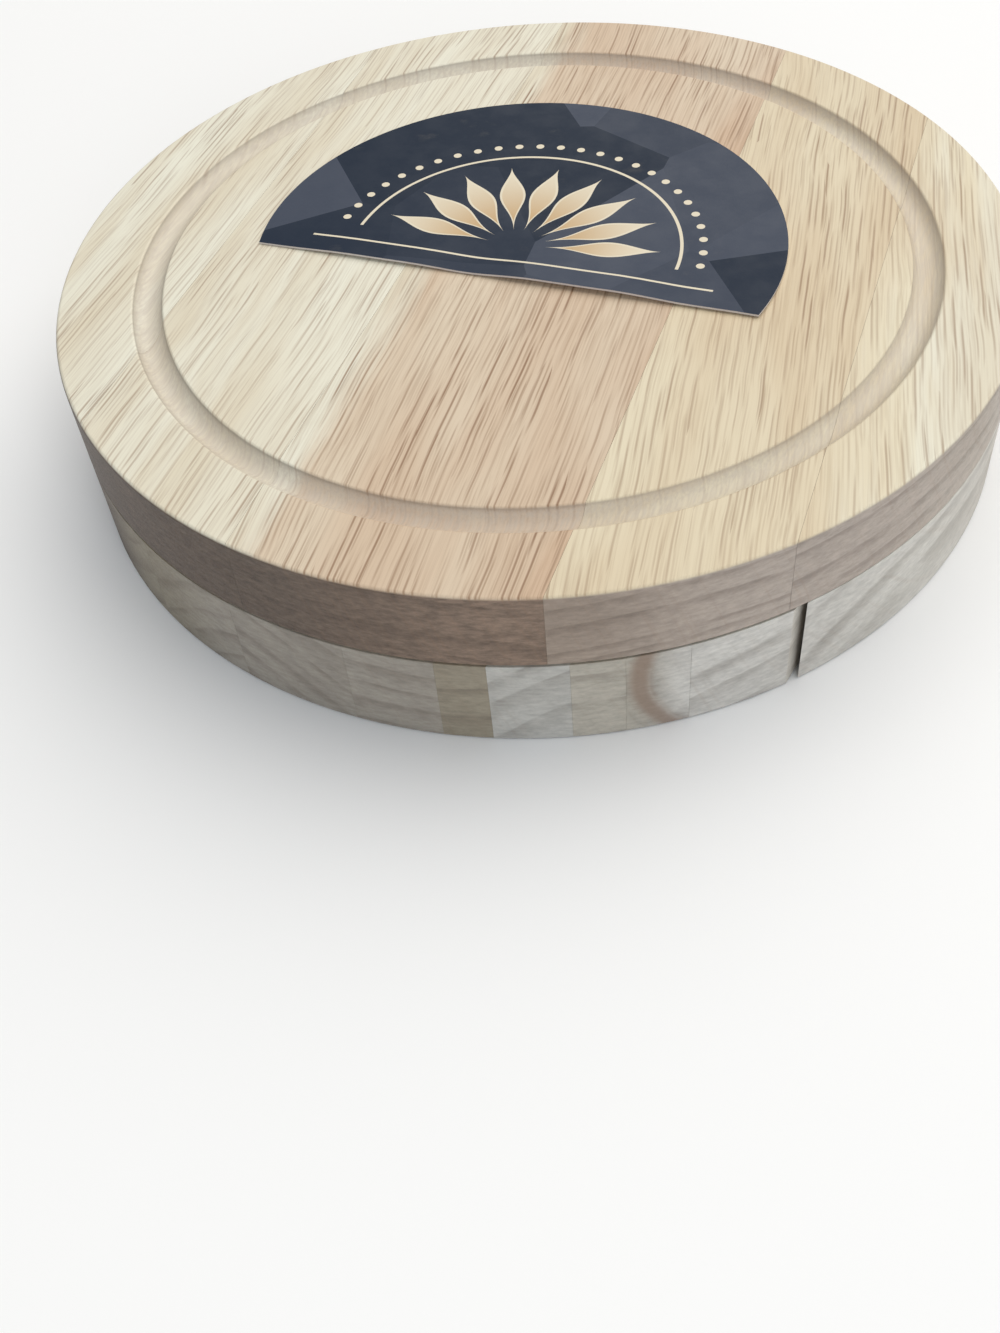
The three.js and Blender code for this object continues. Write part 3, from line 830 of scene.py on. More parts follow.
def wood_material(name, colours, stave, turn, seed, left=0.0, groove=None, rim=None):
    """Solid wood: rings about the tree's heart, fibres and pores along the grain, darker end grain, and
    painted shade on upright sides, downward faces, the tray's rim and the groove.
    """
    wood = Shader(name)
    here = wood.object_place(turn)
    grain = wood.object_place(turn + math.radians(stave.lean))
    shifted = wood.vector("ADD", grain, tuple(seed * step for step in SEED_STEP))
    sway = wood.vector("SUBTRACT", wood.noise(shifted, SWAY, detail=3, output="Color"), (0.5, 0.5, 0.5))
    sway = wood.vector("MULTIPLY", sway, (SWAY_WIDTH, 0.0, SWAY_WIDTH))
    loose = wood.vector("ADD", shifted, sway)
    radius = ring_radius(wood, wood.vector("ADD", here, sway), stave)
    rings = wood.math("MULTIPLY_ADD", radius, MILLIMETRE / stave.ring, seed * RING_STEP)
    cloud = wood.noise(shifted, CLOUDS)
    fibres = wood.noise(loose, FIBRES, roughness=0.6)

    in_groove = groove_share(wood, here, groove) if groove else None
    cut_across = end_share(wood, here, turn, stave, in_groove, rim)
    face = face_look(wood, colours, stave, here, shifted, left, rings, cloud)
    face = wood.mix(wood.ease(fibres, *FIBRE_RANGE, 0.0, FIBRE_TINT * stave.pores), face, colours.pore)
    surface = wood.mix(cut_across, face, end_colour(wood, colours, stave, rings, cloud, here, left))
    if stave.stain:
        surface = wood.mix(brown_ring(wood, radius, stave, cut_across), surface, colours.stain)
    pores = open_pores(wood, loose, stave, cut_across, in_groove)
    surface = wood.mix(pores, surface, colours.pore)
    # Painted shade and haze in the groove, in streaks along the grain
    if groove:
        surface = wood.mix(groove_shade_and_haze(wood, here, in_groove), surface, colours.groove)
    # Painted shade on faces that look down, for the seam between the layers
    surface = wood.mix(underside(wood), surface, colours.end_dark_and_shade)

    wood.set(base_color=surface, roughness=wood.ease(fibres, *WOOD_ROUGHNESS))
    wood.set_gloss(WOOD_GLOSS)
    wood.bump(wood.math("SUBTRACT", wood.math("MULTIPLY", fibres, FIBRE_RELIEF), pores), *WOOD_RELIEF)
    return wood.material


def end_share(wood, here, turn, stave, in_groove, rim):
    """How far a place has the end grain's colours: less in the groove, and more inside the rim, as painted
    shade for the seam between the layers.
    """
    cut_across = end_grain(wood, turn, stave)
    if in_groove is not None:
        kept = wood.math("MULTIPLY_ADD", in_groove, -GROOVE_SHELTER, 1.0)
        cut_across = wood.math("MULTIPLY", cut_across, kept)
    if rim is not None:
        # Painted shade in a band inside the rim, for the seam under the board
        rim_shade = wood.ease(wood.flat_reach(here), rim - RIM_SHADE_WIDTH, rim - RIM_SHADE_WIDTH / 3, 0.0, RIM_SHADE_TINT)
        cut_across = wood.math("MAXIMUM", cut_across, rim_shade)
    return cut_across


def face_look(wood, colours, stave, here, shifted, left, rings, cloud):
    """Colour of a stave's face, with the neighbour's colour at its left joint where it has one."""
    bands = wood.line_noise(rings, detail=3)
    face = face_colour(wood, colours, stave.face, bands, cloud)
    if stave.lead:
        lead = face_colour(wood, colours, stave.lead, bands, cloud)
        face = wood.mix(lead_share(wood, here, shifted, left, stave.fade * PER_METRE), face, lead)
    return face


def face_colour(wood, colours, face, bands, cloud):
    """Colour of a face along the grain: soft bands and clouds."""
    tone = wood.math("ADD", wood.ease(bands, *FACE_BANDS), wood.ease(cloud, *FACE_CLOUDS))
    return wood.mix(tone, getattr(colours, face), getattr(colours, face + "_dark"))


def lead_share(wood, here, shifted, left, width):
    """One at the stave's left joint, fading to nothing across it in long fingers."""
    fingers = wood.math("SUBTRACT", wood.noise(shifted, FINGERS, detail=3, roughness=0.6), 0.5)
    reach = wood.math("SUBTRACT", wood.part(here, "X"), left * PER_METRE)
    ragged = wood.math("MULTIPLY_ADD", fingers, FINGER_REACH * width, reach)
    return wood.ease(ragged, LEAD_START * width, width, 1.0, 0.0)


def end_colour(wood, colours, stave, rings, cloud, here, left):
    """Colour of a face across the grain: rings that darken outwards, clouds and mottling, with painted shade
    that lightens towards the right and the back.
    """
    ends = getattr(colours, stave.ends)
    # Painted gradient of side light: the ends lighten towards the stave's right joint
    if stave.tail:
        across = wood.ease(wood.part(here, "X"), left * PER_METRE, stave.right * PER_METRE)
        ends = wood.mix(across, ends, getattr(colours, stave.tail))
    # Towards the back the ends turn plain tan, so the painted shade of the end colours stays at the front
    ends = wood.mix(wood.ease(wood.part(here, "Y"), *UNSHADED_BACK_ENDS), ends, colours.end_tan)
    ends = wood.mix(late_wood(wood, rings, here), ends, colours.end_dark_and_shade)
    ends = wood.mix(wood.ease(cloud, *END_CLOUDS), ends, colours.end_dark_and_shade)
    grit = wood.noise(here, GRIT, detail=4, roughness=0.65)
    mottled = wood.math("MULTIPLY_ADD", wood.math("SUBTRACT", grit, 0.5), stave.grit, 1.0)
    return wood.add("ShaderNodeVectorMath", {0: ends, "Scale": mottled}, operation="SCALE")


def late_wood(wood, rings, here):
    """Share of the dark wood at the outer side of each ring, stronger in some places than in others."""
    wander = wood.line_noise(wood.math("MULTIPLY", rings, WANDER_COUNT), detail=1)
    phase = wood.math("FRACT", wood.math("MULTIPLY_ADD", wander, WANDER, rings))
    late = wood.math("MULTIPLY", wood.ease(phase, *RING_DARKENS), wood.ease(phase, *RING_ENDS))
    return wood.math("MULTIPLY", late, wood.ease(wood.noise(here, RING_PATCHES), *LATE_WOOD))


def brown_ring(wood, radius, stave, cut_across):
    """Share of a brown growth ring in the end grain."""
    off_ring = wood.math("ABSOLUTE", wood.math("SUBTRACT", radius, stave.stain * PER_METRE))
    near, far = (stave.stain_half * PER_METRE * edge for edge in STAIN_EDGE)
    return wood.math("MULTIPLY", wood.ease(off_ring, near, far, STAIN_TINT, 0.0), cut_across)


def open_pores(wood, loose, stave, cut_across, in_groove):
    """The stave's pores, fainter in end grain and in the groove."""
    covered = cut_across
    if in_groove is not None:
        covered = wood.math("MAXIMUM", covered, wood.math("MULTIPLY", in_groove, GROOVE_COVER))
    bare = wood.math("MULTIPLY_ADD", covered, -PORES_HIDDEN * stave.pores, stave.pores)
    return wood.math("MULTIPLY", pore_lines(wood, loose), bare)


def pore_lines(wood, loose):
    """Soft lines along the grain, in drifts: long dark ones and shorter, fainter ones between them."""
    sideways = wood.math("MULTIPLY_ADD", wood.part(loose, "Z"), PORE_SLANT, wood.part(loose, "X"))
    flat = wood.add("ShaderNodeCombineXYZ", {0: sideways, 1: wood.part(loose, "Y")})
    dark = pore_layer(wood, flat, DARK_PORES)
    faint = pore_layer(wood, wood.vector("ADD", flat, PORE_OFFSET), FAINT_PORES)
    drifts = wood.ease(wood.noise(loose, DRIFTS, detail=1), *PORE_DRIFTS)
    return wood.math("MULTIPLY", wood.math("MAXIMUM", dark, faint), drifts)


def pore_layer(wood, flat, pores):
    """One soft line in each long cell, some fainter than others."""
    cells = wood.vector("MULTIPLY", flat, (pores.across, pores.along, 0.0))
    offset = wood.vector("SUBTRACT", cells, wood.cells(cells, "Position"))
    strength = wood.part(wood.cells(cells, "Color"), "X")
    across = wood.ease(wood.math("ABSOLUTE", wood.part(offset, "X")), *PORE_WIDTH)
    along = wood.ease(wood.math("ABSOLUTE", wood.part(offset, "Y")), *PORE_LENGTH)
    lines = wood.math("MULTIPLY", across, along)
    return wood.math("MULTIPLY", lines, wood.ease(strength, 0.0, 1.0, pores.weakest, pores.strongest))


def ring_radius(wood, bent, stave):
    """Distance from the tree's heart in millimetres."""
    heart = (stave.heart_x * PER_METRE, 0.0, stave.heart_z * PER_METRE)
    return wood.reach(wood.vector("MULTIPLY", wood.vector("SUBTRACT", bent, heart), (1, 0, 1)))


def end_grain(wood, turn, stave):
    """How far an upright surface shows the end grain's darker colour: all of it where it cuts squarely across
    the grain, and the stave's share of it on long-grain sides as painted shade.
    """
    normal = wood.normal()
    grain = (-math.sin(turn), math.cos(turn), 0.0)
    facing = wood.add("ShaderNodeVectorMath", {0: normal, 1: grain}, output="Value", operation="DOT_PRODUCT")
    upright = wood.ease(wood.math("ABSOLUTE", wood.part(normal, "Z")), *UPRIGHT)
    # Long-grain upright sides take the stave's share of the end colour as painted shade
    squarely = wood.ease(wood.math("ABSOLUTE", facing), *SQUARE_RANGE, stave.sides, 1.0)
    return wood.math("MULTIPLY", squarely, upright)


def underside(wood):
    """A share of painted shade on surfaces that face down, for the seam between the layers."""
    return wood.ease(wood.part(wood.normal(), "Z"), *UNDERSIDE_SHADE)


def groove_share(wood, here, groove):
    """One between the groove's two radii, fading to nothing at its edges."""
    radius = wood.flat_reach(here)
    inner, outer = groove
    rising = wood.ease(radius, inner - GROOVE_OUTSIDE, inner + GROOVE_INSIDE)
    falling = wood.ease(radius, outer - GROOVE_INSIDE, outer + GROOVE_OUTSIDE, 1.0, 0.0)
    return wood.math("MULTIPLY", rising, falling)


def groove_shade_and_haze(wood, here, in_groove):
    """Share of painted shade and haze in the groove, in streaks along the grain."""
    return wood.math("MULTIPLY", in_groove, wood.ease(wood.noise(here, HAZE), *GROOVE_SHADE_AND_HAZE))


def steel_material(name, finishes, turn):
    """Satin steel brushed across the blade."""
    steel = Shader(name)
    here = steel.object_place(turn)
    brushing = steel.noise(here, BRUSHING, detail=3, roughness=0.6)
    plain = steel.spread(steel.noise(here, STEEL_CLOUDS), *STEEL_ROUGHNESS)
    steel.set(base_color=steel.mix(brushing, finishes.steel_dark, finishes.steel), metallic=1.0)
    steel.set(roughness=steel.math("MULTIPLY_ADD", brushing, BRUSHED_ROUGHNESS, plain))
    steel.bump(brushing, *STEEL_RELIEF)
    return steel.material


def metal_material(name, dark, light, roughness):
    """Plated or turned metal with a fine uneven surface."""
    metal = Shader(name)
    here = metal.object_place()
    fine = metal.noise(here, FINE_METAL)
    metal.set(base_color=metal.mix(metal.noise(here, SPANGLE, detail=3), dark, light), metallic=1.0)
    metal.set(roughness=metal.spread(fine, roughness - TURNED_ROUGHNESS, roughness + TURNED_ROUGHNESS))
    metal.bump(fine, *METAL_RELIEF)
    return metal.material


def nylon_material(name, finishes):
    """Natural nylon with a cloudy, slightly waxy surface."""
    nylon = Shader(name)
    cloud = nylon.noise(nylon.object_place(), WAXY_CLOUDS)
    nylon.set(base_color=nylon.mix(cloud, finishes.nylon_dark, finishes.nylon))
    nylon.set(roughness=nylon.spread(cloud, *NYLON_ROUGHNESS))
    nylon.bump(cloud, *NYLON_RELIEF)
    return nylon.material


def print_material(name, card):
    """Coated card: dark facets, a fan of petals, an arc, dots and a rule."""
    ink = Shader(name)
    here = ink.object_place(middle=(card.middle_x, card.middle_y - card.cut, 0))
    cells = ink.cells(ink.vector("MULTIPLY", here, CARD_FACETS), "Color")
    ground = ink.mix(ink.ease(ink.part(cells, "X"), *FACET_RANGE), card.ground, card.facet)
    fan = ink.vector("SUBTRACT", here, (0, FAN_HEIGHT, 0))
    radius = ink.flat_reach(fan)
    angle = ink.math("ARCTAN2", ink.part(fan, "Y"), ink.part(fan, "X"))
    upper = ink.math("GREATER_THAN", ink.part(fan, "Y"), 0.0)
    drawn = petal_fan(ink, card, ground, radius, angle, upper)
    printed = ink.mix(fine_lines(ink, here, radius, angle, upper), drawn, card.line)

    scuff = ink.noise(here, CARD_SCUFFS, detail=4, roughness=0.65)
    ink.set(base_color=ink.mix(ink.ease(scuff, *CARD_SCUFFED), printed, card.line))
    ink.set(roughness=ink.spread(scuff, *CARD_ROUGHNESS))
    ink.set_gloss(CARD_GLOSS)
    ink.bump(ink.noise(here, CARD_GRAIN, detail=3), *CARD_RELIEF)
    return ink.material


def petal_fan(ink, card, ground, radius, angle, upper):
    """A fan of pointed petals, each with a fine edge, over the ground."""
    turns = ink.math("MULTIPLY", angle, FAN_PETALS / math.pi)
    across = ink.math("ABSOLUTE", ink.math("SUBTRACT", ink.math("FRACT", turns), 0.5))
    along = ink.ease(radius, FAN_INNER, FAN_OUTER)
    width = ink.math("MULTIPLY", ink.math("SINE", ink.math("MULTIPLY", along, math.pi)), PETAL_WIDTH)
    petal = ink.math("MULTIPLY", ink.math("LESS_THAN", across, width), upper)
    core = ink.math("LESS_THAN", across, ink.math("SUBTRACT", width, PETAL_EDGE))
    filled = ink.mix(along, card.petal, card.line)
    return ink.mix(petal, ground, ink.mix(core, card.line, filled))


def fine_lines(ink, here, radius, angle, upper):
    """One where the arc, the ring of dots and the rule are drawn."""
    arc = ink.math("COMPARE", radius, FAN_ARC, ARC_THICK)
    turns = ink.math("FRACT", ink.math("MULTIPLY", angle, FAN_DOTS / math.pi))
    aside = ink.math("MULTIPLY", ink.math("SUBTRACT", turns, 0.5), FAN_RING * math.pi / FAN_DOTS)
    outward = ink.math("SUBTRACT", radius, FAN_RING)
    off_dot = ink.reach(ink.add("ShaderNodeCombineXYZ", {0: aside, 1: outward}))
    dots = ink.math("LESS_THAN", off_dot, DOT_RADIUS)
    curved = ink.math("MULTIPLY", ink.math("MAXIMUM", arc, dots), upper)
    in_line = ink.math("COMPARE", ink.part(here, "Y"), RULE_HEIGHT, RULE_THICK)
    in_reach = ink.math("COMPARE", ink.part(here, "X"), 0.0, RULE_HALF)
    return ink.math("MAXIMUM", curved, ink.math("MULTIPLY", in_line, in_reach))


def paper_material(name, card):
    """Bare card with short fibres."""
    paper = Shader(name)
    fibres = paper.noise(paper.object_place(), PAPER_FIBRES, detail=4)
    paper.set(base_color=paper.mix(paper.spread(fibres, 0.0, PAPER_TINT), card.paper, card.fibre))
    paper.set(roughness=paper.spread(fibres, *PAPER_ROUGHNESS))
    paper.bump(fibres, *PAPER_RELIEF)
    return paper.material


# Shapes

def groove_steps(sizes, count):
    """Steps inward and downward along the groove's round section, from its outer edge to its inner edge."""
    half = sizes.groove_width / 2
    section = (half * half + sizes.groove_depth ** 2) / (2 * sizes.groove_depth)
    opening = math.asin(half / section)
    angles = [opening * (2 * step / count - 1) for step in range(count + 1)]
    for first, second in zip(angles, angles[1:]):
        yield section * (math.sin(second) - math.sin(first)), section * (math.cos(first) - math.cos(second))


def turn_board(sizes, hardware):
    """The serving board in one piece: a disc with a rounded rim, a juice groove and holes for hardware."""
    inner = sizes.groove_radius - sizes.groove_width
    board = add_disc("serving_board", BOARD_RADIUS, BOARD_LOW, BOARD_HIGH, RIM_SIDES)
    edit(board)
    pick(board, "EDGE", lambda edge: at_height(edge, BOARD_HIGH))
    round_edges(sizes.rim_round, segments=6)
    pick(board, "EDGE", lambda edge: at_height(edge, BOARD_LOW))
    round_edges(sizes.edge_break, segments=2)
    pick(board, "FACE", lambda face: faces_up(face) and len(face.verts) == RIM_SIDES)
    bpy.ops.mesh.inset(thickness=BOARD_RADIUS - sizes.rim_round - sizes.groove_radius, depth=0)
    for inward, downward in groove_steps(sizes, GROOVE_STEPS):
        bpy.ops.mesh.inset(thickness=inward, depth=downward)
    pick(board, "EDGE", lambda edge: at_height(edge, BOARD_HIGH) and (
        on_ring(edge, sizes.groove_radius) or on_ring(edge, inner)))
    round_edges(sizes.groove_lip, segments=3)
    close_edit()
    drill_board(board, "pivot_insert", PIVOT.xy, node_radius("pivot_insert"), hardware.fit)
    for screw in BLOCK_SCREWS:
        drill_board(board, screw, node_middle(screw).xy, hardware.screw_radius, hardware.fit)
    return board


def drill_board(board, node, at, radius, fit):
    """Drills a hole from below for the insert or a screw."""
    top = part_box(node)[1].z + fit
    carve(board, add_disc("drill", radius + fit, BOARD_LOW - BEYOND, top, HOLE_SIDES, at))


def turn_lower(name, top, sizes):
    """A disc of the lower layer with sanded edges."""
    disc = add_disc(name, BOARD_RADIUS, 0.0, top, RIM_SIDES)
    edit(disc)
    pick(disc, "EDGE", lambda edge: at_height(edge, top) or at_height(edge, 0.0))
    round_edges(sizes.edge_break, segments=2)
    close_edit()
    return disc


def round_floor(cutter, floor, radius):
    """Rounds the lower edges of a pocket's cutter."""
    edit(cutter)
    select_all()
    bpy.ops.mesh.dissolve_limited(angle_limit=FLAT_ANGLE)
    pick(cutter, "EDGE", lambda edge: at_height(edge, floor))
    round_edges(radius, segments=4)
    close_edit()


def open_mouth(cutter, width):
    """Widens a pocket's cutter just below the tray's upper face, so that the pocket's edge is softened."""
    xs = [vert.co.x for vert in cutter.data.vertices]
    ys = [vert.co.y for vert in cutter.data.vertices]
    wide, long = max(xs) - min(xs), max(ys) - min(ys)
    middle = ((max(xs) + min(xs)) / 2, (max(ys) + min(ys)) / 2, 0)
    edit(cutter)
    pick(cutter, "FACE", faces_up)
    extrude((0, 0, width))
    stretch((1 + 2 * width / wide, 1 + 2 * width / long, 1), middle)
    extrude((0, 0, BEYOND))
    close_edit()


def shape_pocket(cutter, floor, radius, tray):
    """Gives a pocket's cutter its rounded floor and its softened mouth."""
    round_floor(cutter, floor, radius)
    open_mouth(cutter, tray.mouth)


def blade_end(knife):
    """Where the blade meets the ferrule, in the knife's frame."""
    return knife.start + knife.blade


def ferrule_end(knife):
    """Where the ferrule meets the handle, in the knife's frame."""
    return blade_end(knife) + knife.ferrule


def handle_slot(knife, tray, knives):
    """Cutter for a handle's slot: straight sides, one round end."""
    half = knives.handle_radius + tray.margin
    end = ferrule_end(knife) + knife.handle + tray.margin - half
    front = blade_end(knife) - tray.margin
    slot = add_disc("handle_slot", half, tray.handle_floor, TRAY_HIGH - tray.mouth, HOLE_SIDES)
    edit(slot)
    pick(slot, "VERT", lambda vert: vert.co.y < SMALL)
    stretch((1, 0, 1))
    bpy.ops.transform.translate(value=(0, front - end, 0))
    select_all()
    bpy.ops.transform.translate(value=(0, end, 0))
    close_edit()
    shape_pocket(slot, tray.handle_floor, tray.floor_round, tray)
    place_in_tray(slot, knife)
    return slot


def soft_recess(tray, knives):
    """Cutter for the pointed blade's recess: drawn in to a round end at the tip."""
    knife = SOFT_KNIFE
    half = knives.soft_half + 2 * tray.margin
    tip = half / 2
    round_middle = knife.start - tray.margin + tip
    shoulder = knife.start + knife.blade / 2
    heel = blade_end(knife) + 2 * tray.margin
    stations = [(half, shoulder)]
    for step in range(1, RECESS_STEPS + 1):
        along = step / RECESS_STEPS
        stations.append((half - (half - tip) * along ** 2, shoulder + (round_middle - shoulder) * along))
    for degrees in range(RECESS_TURN, 90, RECESS_TURN):
        angle = math.radians(degrees)
        stations.append((tip * math.cos(angle), round_middle - tip * math.sin(angle)))
    recess = add_block(
        "soft_recess", (-half, shoulder, tray.blade_floor), (half, heel, TRAY_HIGH - tray.mouth))
    edit(recess)
    pick(recess, "FACE", lambda face: face.normal.y < -FACING)
    for (wide, at), (next_wide, next_at) in zip(stations, stations[1:]):
        extrude((0, next_at - at, 0))
        stretch((next_wide / wide, 1, 1))
    pick(recess, "EDGE", lambda edge: lies_at(edge, "y", heel) and is_upright(edge))
    round_edges(tray.margin, segments=5)
    close_edit()
    shape_pocket(recess, tray.blade_floor, tray.floor_round, tray)
    place_in_tray(recess, knife)
    return recess


def flat_recess(tray, knives):
    """Cutter for the wide blade's recess: a block with round corners."""
    knife = FLAT_KNIFE
    half = knives.flat_half + 2 * tray.margin
    low = (-half, knife.start - tray.margin, tray.blade_floor)
    high = (half, blade_end(knife) + 2 * tray.margin, TRAY_HIGH - tray.mouth)
    recess = add_block("flat_recess", low, high)
    edit(recess)
    pick(recess, "EDGE", is_upright)
    round_edges(half / 2, segments=12)
    close_edit()
    shape_pocket(recess, tray.blade_floor, tray.floor_round, tray)
    place_in_tray(recess, knife)
    return recess


def finger_channel(tray):
    """Cutter for the channel that lets fingers reach under both handles."""
    at = (tray.channel_left, tray.channel_y)
    channel = add_disc(
        "finger_channel", tray.channel_half, tray.handle_floor, TRAY_HIGH - tray.mouth, HOLE_SIDES, at)
    edit(channel)
    pick(channel, "VERT", lambda vert: vert.co.x > tray.channel_left + SMALL)
    bpy.ops.transform.translate(value=(tray.channel_right - tray.channel_left, 0, 0))
    close_edit()
    shape_pocket(channel, tray.handle_floor, 2 * tray.floor_round, tray)
    return channel


def place_in_tray(piece, knife):
    """Moves something made in a knife's frame to the knife's place in the tray's frame."""
    place(piece, math.radians(knife.azimuth - 90), (knife.x, knife.y, 0))


def pivot_in_tray(tray):
    """The pivot's place in the tray's own frame."""
    return Matrix.Rotation(-tray.turn, 2) @ PIVOT.xy


def node_middle(node):
    """Middle of a node's box."""
    low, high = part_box(node)
    return (low + high) / 2


def node_radius(node):
    """Radius of a round upright node."""
    low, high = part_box(node)
    return (high.x - low.x) / 2


def node_heights(node):
    """Heights of a node's lower and upper end."""
    low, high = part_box(node)
    return low.z, high.z


def pivot_cutters(tray, hardware):
    """Cutters for the bolt, its sunk head with the washer, and the spacer."""
    at = pivot_in_tray(tray)
    shank = hardware.bolt_radius + hardware.fit
    head = node_radius("pivot_washer") + 2 * hardware.fit
    ring = node_radius("pivot_spacer") + hardware.fit
    head_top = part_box("pivot_washer")[1].z + hardware.fit
    ring_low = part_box("pivot_spacer")[0].z - hardware.fit
    return [
        add_disc("bolt_bore", shank, -BEYOND, BEYOND, HOLE_SIDES, at),
        add_disc("head_bore", head, -BEYOND, head_top, HOLE_SIDES, at),
        add_disc("spacer_bore", ring, ring_low, BEYOND, HOLE_SIDES, at),
    ]


def carve_tray(tray, board, knives, hardware):
    """The tray in one piece, with its pockets, channel and pivot bores."""
    disc = turn_lower("knife_tray", TRAY_HIGH, board)
    cutters = [
        handle_slot(SOFT_KNIFE, tray, knives), handle_slot(FLAT_KNIFE, tray, knives),
        soft_recess(tray, knives), flat_recess(tray, knives), finger_channel(tray),
        *pivot_cutters(tray, hardware),
    ]
    for cutter in cutters:
        carve(disc, cutter)
    return disc


def screw_cutter(screw, hardware):
    """Cutter for a wood screw: the sunk hole below its head, the countersink and the hole for its shank."""
    at = node_middle(screw).xy
    head_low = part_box(screw)[0].z
    head = node_radius(screw) + hardware.fit
    hole = hardware.screw_radius + hardware.fit
    seat = head_low + hardware.fit
    neck = head_low + hardware.screw_cone + hardware.fit
    sink = add_disc("screw_sink", head, -BEYOND, seat, HOLE_SIDES, at)
    edit(sink)
    pick(sink, "FACE", faces_up)
    draw_out(at, ((head, seat), (hole, neck), (hole, BEYOND)))
    close_edit()
    return sink


def block_blank(tray, board, hardware):
    """The foot block with its sunk screw holes."""
    block = turn_lower("rim_block", BLOCK_HIGH, board)
    saw(block, left=tray.chord + tray.slit / 2)
    place(block, tray.turn)
    for screw in BLOCK_SCREWS:
        carve(block, screw_cutter(screw, hardware))
    return block


def draw_out(at, stations):
    """Draws the selected end face upwards through stations of radius and height."""
    for (radius, height), (next_radius, next_height) in zip(stations, stations[1:]):
        extrude((0, 0, next_height - height))
        ratio = next_radius / radius
        stretch((ratio, ratio, 1), (at[0], at[1], next_height))


def thread_stations(crest, depth, pitch, low, high):
    """Stations of a round bar with ridges as a thread has them."""
    crest_start, crest_end = THREAD_CREST
    root = crest - depth
    for turn in range(int((high - low) / pitch)):
        foot = low + turn * pitch
        yield root, foot
        yield crest, foot + crest_start * pitch
        yield crest, foot + crest_end * pitch
        yield root, foot + THREAD_ROOT * pitch


def wood_screw(name, node, hardware):
    """Countersunk wood screw, point up, with a cross recess in its head."""
    at = node_middle(node).xy
    low, high = node_heights(node)
    head = node_radius(node)
    seat = low + hardware.fit
    neck = low + hardware.screw_cone
    core = hardware.screw_radius - hardware.thread_depth
    thread_low = neck + hardware.screw_radius
    point = high - SCREW_POINT * hardware.screw_radius
    screw = add_disc(name, head, low, seat, SCREW_SIDES, at)
    edit(screw)
    pick(screw, "FACE", faces_up)
    ridges = thread_stations(
        hardware.screw_radius, hardware.thread_depth, hardware.screw_pitch, thread_low, point)
    draw_out(at, ((head, seat), (core, neck), *ridges, (core, point), (core * SCREW_TIP, high)))
    pick(screw, "EDGE", lambda edge: at_height(edge, low))
    round_edges(hardware.fit / 2, segments=2)
    close_edit()
    for turn in (0.0, math.radians(90)):
        carve(screw, cross_slot(at, low, head, turn))
    return screw


def cross_slot(at, low, head, turn):
    """Cutter for one arm of a cross recess, narrower towards its floor."""
    arm, half, depth = CROSS_ARM * head, CROSS_HALF * head, CROSS_DEPTH * head
    slot = add_block("cross_slot", (-arm, -half, -head), (arm, half, depth))
    edit(slot)
    pick(slot, "FACE", faces_up)
    stretch(CROSS_FLOOR)
    close_edit()
    place(slot, turn, (at[0], at[1], low))
    return slot


def socket_bolt(hardware):
    """Pivot bolt: a low head with a hexagon socket, a plain shank and a thread for the insert."""
    at = PIVOT.xy
    low, high = node_heights("pivot_bolt")
    head = node_radius("pivot_bolt")
    head_top = low + hardware.head_height
    shank = hardware.bolt_radius
    thread_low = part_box("pivot_insert")[0].z
    bolt = add_disc("socket_bolt", head, low, head_top, HOLE_SIDES, at)
    edit(bolt)
    pick(bolt, "FACE", faces_up)
    bpy.ops.mesh.inset(thickness=head - shank, depth=0)
    ridges = thread_stations(shank, hardware.thread_depth, hardware.bolt_pitch, thread_low, high - shank / 2)
    draw_out(at, ((shank, head_top), (shank, thread_low), *ridges, (BOLT_END * shank, high)))
    pick(bolt, "EDGE", lambda edge: at_height(edge, low))
    round_edges(hardware.head_height / 3, segments=4)
    rim = HEAD_RIM * head
    pick(bolt, "EDGE", lambda edge: at_height(edge, head_top) and (edge.verts[0].co.xy - at).length > rim)
    round_edges(hardware.fit, segments=2)
    close_edit()
    socket_top = low + hardware.socket_depth
    carve(bolt, add_disc("socket", hardware.socket_radius, low - BEYOND, socket_top, SOCKET_SIDES, at))
    return bolt


def bore_for_bolt(piece, low, high, hardware):
    """Bores a piece through along the pivot, with room for the bolt."""
    bore = hardware.bolt_radius + hardware.fit
    carve(piece, add_disc("bore", bore, low - BEYOND, high + BEYOND, HOLE_SIDES, PIVOT.xy))


def flat_ring(name, node, hardware):
    """A flat ring around the bolt with softened edges."""
    low, high = node_heights(node)
    ring = add_disc(name, node_radius(node), low, high, HOLE_SIDES, PIVOT.xy)
    bore_for_bolt(ring, low, high, hardware)
    edit(ring)
    pick(ring, "EDGE", lambda edge: at_height(edge, low) or at_height(edge, high))
    round_edges(RING_BREAK * (high - low), segments=2)
    close_edit()
    return ring


def threaded_insert(hardware):
    """Brass insert: ridged outside to hold in the wood, bored for the bolt."""
    low, high = node_heights("pivot_insert")
    outside = node_radius("pivot_insert")
    root = outside - hardware.thread_depth
    collar = low + hardware.bolt_pitch
    insert = add_disc("brass_insert", root, low, collar, HOLE_SIDES, PIVOT.xy)
    edit(insert)
    pick(insert, "FACE", faces_up)
    ridges = thread_stations(outside, hardware.thread_depth, 2 * hardware.bolt_pitch, collar, high)
    draw_out(PIVOT.xy, (*ridges, (root, high)))
    close_edit()
    bore_for_bolt(insert, low, high, hardware)
    return insert


def curve_point(points, t):
    """A point of the Bezier curve with these control points."""
    while len(points) > 1:
        points = [first.lerp(second, t) for first, second in zip(points, points[1:])]
    return points[0]


